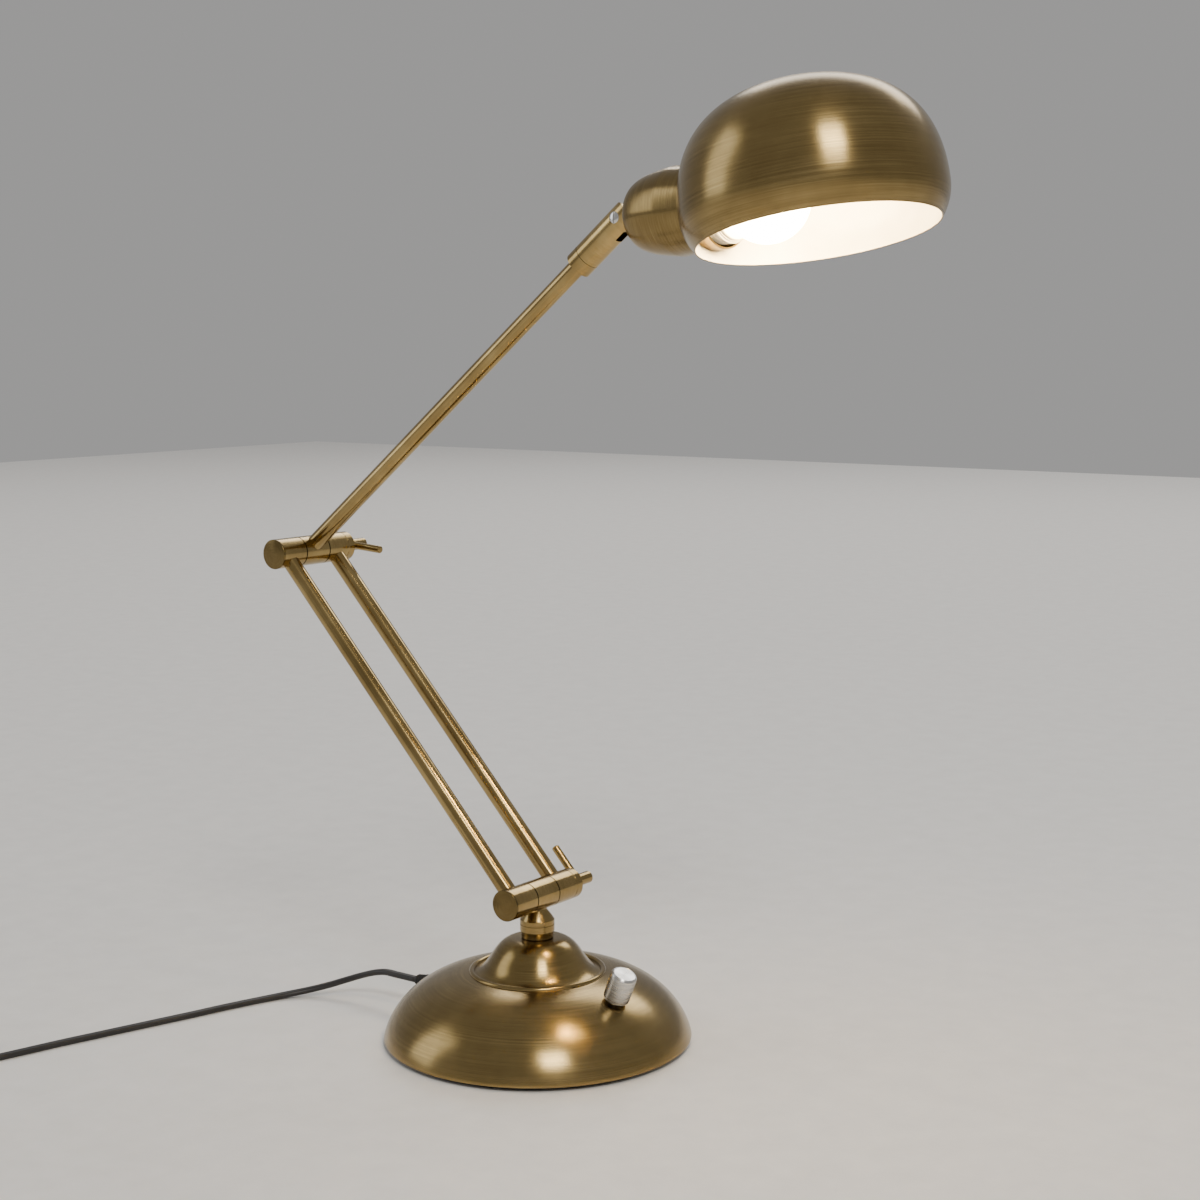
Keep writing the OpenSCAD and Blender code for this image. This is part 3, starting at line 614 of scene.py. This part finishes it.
# a moulded plug: a block tapered to its cord, with grip ridges and rounded edges
def makePlug():
    length, width, height = plug["length"], plug["width"], plug["height"]
    long, middleHeight = length * mm, height * mm / 2
    body = makeBox((length, width, height), (long / 2, 0, middleHeight))
    middle = Vector((long * 0.45, 0, middleHeight))
    bpy.ops.object.mode_set(mode="EDIT")
    for share in plug["cuts"]:
        bpy.ops.mesh.select_all(action="SELECT")
        bpy.ops.mesh.bisect(plane_co=(long * share, 0, 0), plane_no=(1, 0, 0))
    selectPoints(body, lambda co: co.x < long * 0.05)
    bpy.ops.transform.resize(value=(1, plug["tail"] / width, 0.66), center_override=middle)
    selectPoints(body, lambda co: long * 0.1 < co.x < long * 0.3)
    bpy.ops.transform.resize(value=(1, 0.62, 0.9), center_override=middle)
    bpy.ops.object.mode_set(mode="OBJECT")
    useModifier(body, "BEVEL", width=plug["bevel"] * mm, segments=4, limit_method="ANGLE",
                angle_limit=math.radians(28))
    ridges = []
    for i in range(plug["ridges"]):
        x = length * (0.52 + 0.07 * i) * mm
        ridge = makeBox((plug["ridgeWidth"], width + 0.7, height - 5), (x, 0, middleHeight))
        useModifier(ridge, "BEVEL", width=plug["ridgeBevel"] * mm, segments=2)
        ridges.append(ridge)
    body = joinPieces("plugBody", body, *ridges)
    body.rotation_euler = (0, 0, math.radians(plug["turn"]))
    body.location = (plug["place"][0] * mm, plug["place"][1] * mm, 0)
    settle(body)
    bpy.ops.object.shade_smooth_by_angle(angle=math.radians(35))
    return body


plugBody = makePlug()
setFinish(plugBody, blackPlastic)
fit(plugBody, "base", "plug_black", "plug_body")

tie = {"turn": 200, "inner": 15.2, "outer": 44.2, "width": 6, "height": 8.1, "sheet": 0.9,
       "bevel": 2.0, "flap": 11, "flapBevel": 0.35}


# a strap over the coil, open underneath, with its end folded over
def makeTie():
    middle = (tie["inner"] + tie["outer"]) / 2
    strap = makeBox((tie["outer"] - tie["inner"], tie["width"], tie["height"]),
                    (middle * mm, 0, tie["height"] * mm / 2))
    selectFaces(strap, lambda f: abs(f.normal.y) > 0.9 or f.normal.z < -0.9)
    bpy.ops.mesh.delete(type="FACE")
    bpy.ops.object.mode_set(mode="OBJECT")
    useModifier(strap, "BEVEL", width=tie["bevel"] * mm, segments=5, limit_method="ANGLE",
                angle_limit=math.radians(30))
    useModifier(strap, "SOLIDIFY", thickness=tie["sheet"] * mm, offset=-1)
    flap = makeBox((tie["flap"], tie["width"] + 0.5, tie["sheet"]),
                   (middle * mm, 0, (tie["height"] + 0.2) * mm))
    useModifier(flap, "BEVEL", width=tie["flapBevel"] * mm, segments=2)
    strap = joinPieces("cordTie", strap, flap)
    strap.rotation_euler = (0, 0, math.radians(tie["turn"]))
    strap.location = (cord["coilCentre"][0] * mm, cord["coilCentre"][1] * mm, 0)
    settle(strap)
    bpy.ops.object.shade_smooth_by_angle(angle=math.radians(35))
    return strap


cordTie = makeTie()
setFinish(cordTie, softRubber)
fit(cordTie, "base", "plug_black", "cord_tie")
print("cord fittings made")

# the spun base with its rolled rim, its bead and its bell
base = {"radius": 89.0, "rim": 3.7, "beadRadius": 38.0, "beadHeight": 41.0, "beadWire": 1.6,
        "bellHeight": 60.5, "bellTop": 14.0, "stem": 5.2, "wall": 1.5}


def makeBase():
    r, b, h, top = base["radius"], base["beadRadius"], base["beadHeight"], base["bellHeight"]
    dome = bezier((r, base["rim"]), (r * 0.955, h * 0.51), (r * 0.764, h * 0.927), (b, h), 44)
    dome = [p for p in dome if p[0] > b + base["beadWire"] * 0.98]
    bead = arc(b, h, base["beadWire"], -4, 176, 14)
    bell = bezier((b - base["beadWire"] - 0.05, h + 0.22), (b * 0.71, h + (top - h) * 0.12),
                  (b * 0.684, top - 1.2), (base["bellTop"], top), 34)
    under = setIn(dome + bell, base["wall"])
    outline = [(base["stem"], top), (base["bellTop"] - 0.6, top)] + list(reversed(bell[:-1]))
    outline += list(reversed(bead)) + list(reversed(dome))
    outline += arc(r - 0.9, base["rim"] - 0.45, 0.9, 0, -180, 8)
    outline += [(r - 1.8, base["rim"] + 1)] + under[2:-1] + [(base["stem"], top - base["wall"])]
    return turnedPiece("baseShell", outline + [outline[0]], (0, 0, 0), up, steps=160, smooth=28)


baseShell = makeBase()
setFinish(baseShell, brushedBrass("baseBrass", (0, 0, 0), up, turned=True))
fit(baseShell, "base", "antique_brass", "base_shell")
print("base made")

# the collar between the bell and the lower hinge
collar = {"foot": 9.3, "belt": 10.0, "top": 5.5, "start": 60.8, "footEnd": 64.6, "beltEnd": 71.8,
          "groove": 68.6, "grooveDepth": 0.3, "coneEnd": 77.9, "end": 79.6, "bore": 3.2}


def makeCollar():
    c = collar
    foot, belt, top, bore = c["foot"], c["belt"], c["top"], c["bore"]
    cut = belt - c["grooveDepth"]
    outline = [(bore, c["start"]), (foot - 0.3, c["start"]), (foot, c["start"] + 0.3),
               (foot, c["footEnd"] - 1.3), (foot + 0.15, c["footEnd"] - 1.0),
               (belt - 0.35, c["footEnd"]), (belt, c["footEnd"] + 0.35),
               (belt, c["groove"] - 0.1), (cut, c["groove"] + 0.05),
               (cut, c["groove"] + 0.35), (belt, c["groove"] + 0.5),
               (belt, c["beltEnd"] - 0.35), (belt - 0.3, c["beltEnd"])]
    outline += bezier((belt - 0.5, c["beltEnd"] + 0.3), (7.6, 75.2), (top + 0.3, 76.6),
                      (top, c["coneEnd"]), 8)
    outline += [(top, c["end"]), (bore, c["end"])]
    return turnedPiece("neckCollar", outline + [outline[0]], (0, 0, 0), up, steps=72)


neckCollar = makeCollar()
setFinish(neckCollar, brushedBrass("collarBrass", (0, 0, 0.07), up, turned=True, lines=1.4,
                                   tone=1.08))
fit(neckCollar, "neck", "antique_brass", "neck_collar")

# end caps on the two barrels, flat, with a fine rounded edge
# the caps' tone darkens their brass to 0.6 of the others': a painted dark reflection on their flat
# faces
cap = {"radius": 9.0, "front": -29.6, "thick": 1.2, "edge": 0.3, "tone": 0.6}


def makeCap(name, centre):
    r, t, e = cap["radius"], cap["thick"], cap["edge"]
    outline = [(0, 0), (r, 0), (r, t - e)] + arc(r - e, t - e, e, 0, 90, 4)
    outline += [(0, t)]
    front = Vector(centre) + hingeAxis * (cap["front"] + t) * mm
    return turnedPiece(name, outline, front, -hingeAxis, steps=72, smooth=24)


for name, centre, node in (
        ("lowerEndCap", lowerHinge, "lower_end_cap"),
        ("elbowEndCap", elbow, "elbow_end_cap")):
    piece = makeCap(name, centre)
    # the darker cap tone is a painted dark reflection
    setFinish(piece, brushedBrass(name + "Brass", centre, hingeAxis, turned=True, tone=cap["tone"],
                                  lines=1.2))
    fit(piece, "lower_arm", "antique_brass", node)

# clamp nuts with a long boss and a round lever through it, its end slightly domed
lever = {"nutRadius": 8.9, "nutStart": 26.9, "nutEnd": 32.5, "bore": 2.9, "boreEnd": 35.8,
         "bossRadius": 3.6, "bossEnd": 49.5, "at": 38.8, "thick": 2.3, "root": 1.0, "reach": 24.5,
         "round": 0.9, "elbowTurn": 94}


def makeLever(name, centre, direction):
    n = lever
    nut, start, end = n["nutRadius"], n["nutStart"], n["nutEnd"]
    boss, bossEnd = n["bossRadius"], n["bossEnd"]
    outline = [(0, n["boreEnd"]), (n["bore"], n["boreEnd"]), (n["bore"], start),
               (nut - 0.3, start), (nut, start + 0.3), (nut, end - 0.4), (nut - 0.4, end),
               (boss + 0.3, end), (boss, end + 0.3), (boss, bossEnd - 0.5),
               (boss - 0.5, bossEnd), (0, bossEnd)]
    body = turnedPiece(name, outline, centre, hingeAxis, steps=72, smooth=24)
    foot = Vector(centre) + hingeAxis * n["at"] * mm
    t, reach, curve = n["thick"], n["reach"], n["round"]
    rod = [(0, n["root"]), (t, n["root"]), (t, reach - curve)]
    rod += arc(t - curve, reach - curve, curve, 0, 90, 5) + [(0, reach)]
    arm = turnedPiece(name + "Arm", rod, foot, direction, steps=32, smooth=24)
    return joinPieces(name, body, arm)


elbowTurn = math.radians(lever["elbowTurn"])
elbowLeverAxis = (math.sin(elbowTurn), 0, math.cos(elbowTurn))
for name, centre, direction, body, node in (
        ("lowerLever", lowerHinge, armAxis, "lower_lever", "lower_clamp_lever"),
        ("elbowLever", elbow, elbowLeverAxis, "elbow_lever", "elbow_clamp_lever")):
    piece = makeLever(name, centre, direction)
    setFinish(piece, brushedBrass(name + "Brass", centre, hingeAxis, turned=True, lines=1.2,
                                  tone=1.2, finish="polished"))
    fit(piece, body, "antique_brass", node)
print("hinge pieces made")

# the dimmer's knob: knurled round the side, chamfered, with a spun top
knob = {"radius": 7.5, "lift": 1.6, "length": 17.0, "bevel": 0.6, "well": 5.7, "ribs": 66,
        "depth": 0.22, "dark": (0.50, 0.49, 0.47), "light": (0.78, 0.77, 0.74), "rings": 2600}
knobPlace = Vector(joints["dimmer_turn"]["pos_m"])
knobAxis = Vector(joints["dimmer_turn"]["axis"]).normalized()


def makeKnob():
    k = knob
    r, low, high, b = k["radius"], k["lift"], k["lift"] + k["length"], k["bevel"]
    outline = [(0, low + 1.4), (k["well"], low + 1.4), (k["well"], low), (r - b, low),
               (r - 0.15, low + b), (r - 0.15, low + 1.5), (r, low + 1.7), (r, high - 2.3),
               (r - 0.15, high - 2.1), (r - 0.15, high - 1.2), (r - b, high - b),
               (r - 2 * b, high), (r - 2.2 * b, high), (r - 2.6 * b, high - 0.12),
               (0, high - 0.12)]
    piece = turnedPiece("dimmerKnob", outline, knobPlace, knobAxis, steps=k["ribs"] * 2, smooth=20)
    across = knobAxis.orthogonal().normalized()
    third = knobAxis.cross(across)

    def isGroove(co):
        spot = co - knobPlace
        height, x, y = spot.dot(knobAxis) / mm, spot.dot(across), spot.dot(third)
        column = round(math.atan2(y, x) / (math.pi / k["ribs"]))
        side = low + 1.6 < height < high - 2.2 and math.hypot(x, y) / mm > r - 0.1
        return side and column % 2 == 0

    bpy.ops.object.mode_set(mode="EDIT")
    bpy.ops.mesh.select_mode(type="VERT")
    selectPoints(piece, isGroove)
    bpy.ops.transform.shrink_fatten(value=-k["depth"] * mm)
    bpy.ops.object.mode_set(mode="OBJECT")
    return piece


def knobMetal():
    shader = Shader("knobAluminium")
    coords = roundCoords(shader, knobPlace, knobAxis, knob["rings"], 0.5)
    rings = shader.noise(coords, 1.0, 4, 0.6)
    shader.finish({
        "Base Color": shader.ramp(rings, [(0.3, knob["dark"]), (0.7, knob["light"])]),
        "Roughness": shader.spread(rings, 0.20, 0.34),
        "Metallic": 1.0,
    })
    shader.bump(rings, 0.12)
    shader.turnedShine(0.6)
    return shader.material


dimmerKnob = makeKnob()
setFinish(dimmerKnob, knobMetal())
fit(dimmerKnob, "dimmer", "knob_aluminium", "dimmer_knob")
print("knob made")

# the shade: a spun dome with a rounded mouth edge, brass outside and white enamel inside
shade = {"radius": 68.1, "mouth": 62.4, "waist": 18.0, "height": 77.2, "wall": 1.0,
         "cupHole": 22.58, "holeFrom": 18, "holeTo": 74, "smooth": 30}
enamelLook = {"low": (0.86, 0.83, 0.76), "high": (0.93, 0.91, 0.86), "coat": 0.3,
              "middle": 0.030, "edge": 0.0003}


def makeShade():
    r, m, w, h = shade["radius"], shade["mouth"], shade["waist"], shade["height"]
    lower = bezier((m, 0.5), (m + (r - m) * 0.6, w * 0.3), (r, w * 0.6), (r, w), 18)
    upper = bezier((r, w), (r, w + (h - w) * 0.66), (r * 0.66, h), (0, h), 46)
    outer = lower + upper[1:]
    inner = setIn(outer, shade["wall"])
    inner[-1] = (0, h - shade["wall"])
    outline = list(reversed(outer)) + arc(m - 0.5, 0.5, 0.5, 0, -180, 6)[1:-1] + inner
    piece = turnedPiece("shadeShell", outline, mouthCentre, shadeAxis, steps=160,
                        smooth=shade["smooth"])
    deselectAll()
    length = (shade["holeTo"] - shade["holeFrom"]) * mm
    middle = pivot + cupAxis * (shade["holeTo"] + shade["holeFrom"]) / 2 * mm
    bpy.ops.mesh.primitive_cylinder_add(
        vertices=128, radius=shade["cupHole"] * mm, depth=length, location=middle,
        rotation=cupAxis.to_track_quat("Z", "Y").to_euler())
    cutAway(piece, bpy.context.object)
    makeActive(piece)
    bpy.ops.object.shade_smooth_by_angle(angle=math.radians(shade["smooth"]))
    wrapAround(piece, mouthCentre, shadeAxis)
    return piece


def enamel():
    shader = Shader("whiteEnamel")
    waves = shader.noise(shader.place(), 70, 3, 0.5)
    tones = [(0.3, enamelLook["low"]), (0.7, enamelLook["high"])]
    shader.finish({
        "Base Color": shader.ramp(waves, tones),
        "Roughness": shader.spread(waves, 0.30, 0.42),
        "Coat Weight": enamelLook["coat"],
    })
    shader.bump(shader.noise(shader.place(), 900, 2, 0.5), 0.05)
    return shader.material


shadeShell = makeShade()
setFinish(shadeShell, brushedBrass("shadeBrass", mouthCentre, shadeAxis, turned=True), enamel())
heart = mouthCentre + shadeAxis * enamelLook["middle"]
for face in shadeShell.data.polygons:
    spot = face.center - mouthCentre
    level = spot.dot(shadeAxis)
    inwards = face.normal.dot(face.center - heart) < 0
    face.material_index = 1 if inwards and level > enamelLook["edge"] else 0
fit(shadeShell, "head", "antique_brass", "lamp_shade")

# the cup behind the shade
cup = {"radius": 22.5, "start": 11.0, "curve": 28.0, "length": 56.0, "wall": 1.2}


def makeCup():
    r, s, c = cup["radius"], cup["start"], cup["curve"]
    wall, mouth = cup["wall"], s + cup["length"]
    curve = bezier((r * 0.4, 0), (r * 0.8, 0), (r * 0.9, c * 0.3), (r, c), 26)
    outer = [(0, s)] + [(x, y + s) for x, y in curve] + [(r, mouth - 0.5)]
    inner = setIn(list(reversed(outer)), wall)
    inner = [(r - wall, mouth - 0.5)] + inner[1:-1] + [(0, s + wall)]
    outline = outer + arc(r - wall / 2, mouth - 0.6, wall / 2, 10, 170, 5) + inner
    return turnedPiece("socketCup", outline, pivot, cupAxis, steps=128, smooth=30)


socketCup = makeCup()
setFinish(socketCup, brushedBrass("cupBrass", pivot, cupAxis, turned=True, lines=1.1, tone=0.95))
fit(socketCup, "head", "antique_brass", "socket_cup")
print("shade and cup made")

# the lamp holder with its ribbed shade ring, and the bulb
holder = {"back": 17.0, "radius": 19.0, "bore": 13.6, "boreFrom": 33.0, "end": 74.0,
          "ringFrom": 64.0, "ringRadius": 20.0, "ringSteps": 3}
bulb = {"capFrom": 38.0, "capRadius": 13.0, "neckFrom": 62.0, "neckRadius": 12.5, "globe": 22.5,
        "globeAt": 93.5, "wall": 0.8, "low": (0.95, 0.86, 0.68), "high": (1.0, 0.93, 0.79),
        "glow": (1.0, 0.72, 0.36), "strength": 85.0}


def makeHolder():
    r, back, end = holder["radius"], holder["back"], holder["end"]
    bore, boreFrom = holder["bore"], holder["boreFrom"]
    outline = [(0, back), (r - 4, back)]
    outline += bezier((r - 3.6, back + 0.2), (r - 1, back + 1), (r, back + 5), (r, back + 10), 6)
    outline += [(r, back + 24), (r - 1.5, back + 25), (r - 1.5, back + 30), (r - 0.5, back + 31)]
    outline += [(r - 0.5, end - 0.5), (r - 1, end), (bore + 0.4, end), (bore, end - 0.4)]
    level = end - 1.5
    while level > boreFrom + 4:
        outline += [(bore, level), (bore + 0.55, level - 0.9), (bore, level - 1.8)]
        level -= 3.6
    outline += [(bore, boreFrom), (0, boreFrom)]
    return turnedPiece("lampHolder", outline, pivot, cupAxis, steps=64, smooth=40)


def makeRing():
    r, s = holder["ringRadius"], holder["ringFrom"]
    inside = holder["radius"] - 0.5
    outline = [(inside, s), (r - 0.3, s)]
    for k in range(holder["ringSteps"]):
        low = s + 0.3 + 2.8 * k
        outline += [(r, low), (r, low + 1.2), (r - 0.8, low + 1.6), (r - 0.8, low + 2.3)]
    outline += [(r - 0.8, s + 8.0), (inside, s + 8.0)]
    return turnedPiece("shadeRing", outline + [outline[0]], pivot, cupAxis, steps=64, smooth=30)


lampHolder = makeHolder()
creamPlastic = dullFinish("creamPlastic", (0.72, 0.68, 0.58), 0.36,
                          grain=1600, strength=0.06, variation=0.08, coat=0.15)
setFinish(lampHolder, creamPlastic)
fit(lampHolder, "head", "holder_thermoset", "lamp_holder")
shadeRing = makeRing()
setFinish(shadeRing, creamPlastic)
fit(shadeRing, "head", "holder_thermoset", "holder_shade_ring")


def makeBulb():
    b = bulb
    r, n, at = b["globe"], b["neckRadius"], b["globeAt"]
    meet = math.degrees(math.asin(n / r))
    globe = arc(0, at, r, 90, -90 + meet + 16, 34)
    start = globe[-1]
    neck = bezier(start, (start[0] - 3.2, start[1] - 3.4), (n, b["neckFrom"] + 9),
                  (n, b["neckFrom"]), 10)
    outer = globe + neck[1:]
    inner = setIn(list(reversed(outer)), b["wall"])
    inner[-1] = (0, at + r - b["wall"])
    outline = outer + [(n - b["wall"], b["neckFrom"])] + inner[1:]
    return turnedPiece("bulbGlass", outline, pivot, cupAxis, steps=80, smooth=60)


def glowingGlass():
    shader = Shader("glowingGlass")
    frost = shader.noise(shader.place(), 700, 3, 0.5)
    shader.finish({
        "Base Color": shader.ramp(frost, [(0.3, bulb["low"]), (0.7, bulb["high"])]),
        "Roughness": shader.spread(frost, 0.25, 0.4),
        "Emission Color": (*bulb["glow"], 1),
        "Emission Strength": bulb["strength"],
    })
    return shader.material


bulbGlass = makeBulb()
setFinish(bulbGlass, glowingGlass())
fit(bulbGlass, "head", "bulb_glass", "bulb_glass")


# the bulb's metal cap, with a rolled thread and a contact at its end
def makeBulbCap():
    s, r = bulb["capFrom"], bulb["capRadius"]
    outline = [(0, s), (4.6, s), (5.2, s + 0.5), (6, s + 2), (r - 1.6, s + 4.6), (r - 1.1, s + 5.2)]
    level = s + 6.0
    while level < s + 19:
        outline += [(r - 1.0, level), (r - 0.1, level + 0.9), (r - 0.1, level + 1.5),
                    (r - 1.0, level + 2.4)]
        level += 3.3
    outline += [(r - 0.5, s + 22), (r - 0.5, s + 24), (0, s + 24)]
    return turnedPiece("bulbCap", outline, pivot, cupAxis, steps=48, smooth=40)


bulbCap = makeBulbCap()
nickel = plainMetal("nickel", (0.74, 0.73, 0.70), 0.2)
setFinish(bulbCap, nickel)
fit(bulbCap, "head", "nickel", "bulb_cap")
print("holder and bulb made")

# the pivot's screw, with a domed and slotted head
screw = {"radius": 3.2, "shank": 2.0, "front": -8.4, "seat": -6.8, "end": 9.4,
         "slotWide": 0.8, "slotDeep": 0.6}


def makeScrew():
    r, shank, front, end = screw["radius"], screw["shank"], screw["front"], screw["end"]
    outline = [(0, front), (r * 0.5, front + 0.06), (r * 0.82, front + 0.28), (r, front + 0.7),
               (r, screw["seat"]), (shank, screw["seat"]), (shank, end - 0.3),
               (shank - 0.3, end), (0, end)]
    piece = turnedPiece("pivotScrew", outline, pivot, headAxis, steps=48, smooth=30)
    middle = pivot + headAxis * (front - 1 + screw["slotDeep"]) * mm
    turn = headAxis.to_track_quat("Z", "Y").to_euler()
    cutAway(piece, makeBox((screw["slotWide"], 3 * r, 2), middle, turn))
    return piece


pivotScrew = makeScrew()
setFinish(pivotScrew, nickel)
fit(pivotScrew, "sleeve", "nickel", "pivot_screw")

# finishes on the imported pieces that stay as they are
zinc = plainMetal("zincSteel", (0.60, 0.59, 0.57), 0.32)
castIron = dullFinish("castIron", (0.055, 0.055, 0.058), 0.75,
                      grain=500, strength=0.5, variation=0.3)
palePlastic = dullFinish("palePlastic", (0.70, 0.68, 0.62), 0.5)
contact = plainMetal("contactBrass", (0.68, 0.52, 0.28), 0.3)
stemGlass = dullFinish("stemGlass", (0.85, 0.83, 0.78), 0.2, variation=0.05)


# brass with its grain round a hinge or along a tube
def nodeBrass(node, axis, lines=1.0, tone=1.0, lengthwise=False):
    low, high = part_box(node)
    return brushedBrass(node + "Brass", (low + high) / 2, axis, tone=1.25 * tone, lines=lines,
                        lengthwise=lengthwise, finish="polished")


for material, nodes in (
        (zinc, ("bottom_plate", "plate_screws", "dimmer_nut", "dimmer_shaft", "swivel_stem",
                "swivel_washer", "swivel_nut", "cup_screw", "lower_clamp_bolt",
                "elbow_clamp_bolt")),
        (softRubber, ("foot_pad", "lower_seam_washers", "elbow_seam_washers")),
        (castIron, ("cast_weight",)),
        (blackPlastic, ("dimmer_body",)),
        (palePlastic, ("terminal_block", "cord_clamp")),
        (blackCord, ("rear_rod_wire", "upper_tube_wire")),
        (nickel, ("pivot_nut", "plug_pins")),
        (contact, ("holder_contact",)),
        (stemGlass, ("bulb_stem",))):
    for node in nodes:
        setFinish(frame["nodes"][node], material)
for node, axis, lines, tone in (
        ("head_tongue", headAxis, 1.2, 0.85),
        ("clevis_sleeve", tubeAxis, 1.3, 1.12),
        ("sleeve_stop_ring", tubeAxis, 1.3, 1.05)):
    setFinish(frame["nodes"][node], nodeBrass(node, axis, lines, tone))
for node, axis in (("upper_tube", tubeAxis), ("front_rod", armAxis), ("rear_rod", armAxis)):
    setFinish(frame["nodes"][node], nodeBrass(node, axis, lengthwise=True))
for hinge in ("lower", "elbow"):
    for part in ("mid", "front", "rear"):
        node = hinge + "_" + part + "_knuckle"
        setFinish(frame["nodes"][node], nodeBrass(node, hingeAxis, 1.2))
print("finishes set")

# floor and light, in metres and watts
studio = {"floor": (0.91, 0.89, 0.86), "floorSize": 9, "sky": (0.84, 0.83, 0.82),
          "skyStrength": 0.42}
lights = {
    "keyLight": {"place": (2.6, -2.05, 3.3), "target": (0, 0, 0.2), "size": (1.2, 1.2),
                 "power": 88, "colour": (1.0, 0.96, 0.90)},
    "fillLight": {"place": (-4.1, -2.5, 2.3), "target": (0, 0, 0.25), "size": (2.2, 3.8),
                  "power": 50, "colour": (0.92, 0.95, 1.0)},
    "backLight": {"place": (-1.4, 4.1, 3.5), "target": (0, 0, 0.3), "size": (4.4, 1.4),
                  "power": 88, "colour": (1.0, 0.98, 0.95)},
}


def addStudio():
    deselectAll()
    bpy.ops.mesh.primitive_plane_add(size=studio["floorSize"], location=(0, 0, 0))
    ground = bpy.context.object
    ground.name = "floor"
    setFinish(ground, dullFinish("floorPaint", studio["floor"], 0.6,
                                 grain=260, strength=0.02, variation=0.03))
    world = bpy.context.scene.world or bpy.data.worlds.new("world")
    bpy.context.scene.world = world
    world.use_nodes = True
    background = world.node_tree.nodes["Background"]
    background.inputs["Color"].default_value = (*studio["sky"], 1)
    background.inputs["Strength"].default_value = studio["skyStrength"]


def addLight(name, look):
    data = bpy.data.lights.new(name, "AREA")
    data.shape = "RECTANGLE"
    data.size, data.size_y = look["size"]
    data.energy = look["power"]
    data.color = look["colour"]
    light = bpy.data.objects.new(name, data)
    bpy.context.collection.objects.link(light)
    light.location = look["place"]
    towards = Vector(look["target"]) - Vector(look["place"])
    light.rotation_euler = towards.to_track_quat("-Z", "Y").to_euler()


addStudio()
for name, look in lights.items():
    addLight(name, look)
print("studio set")
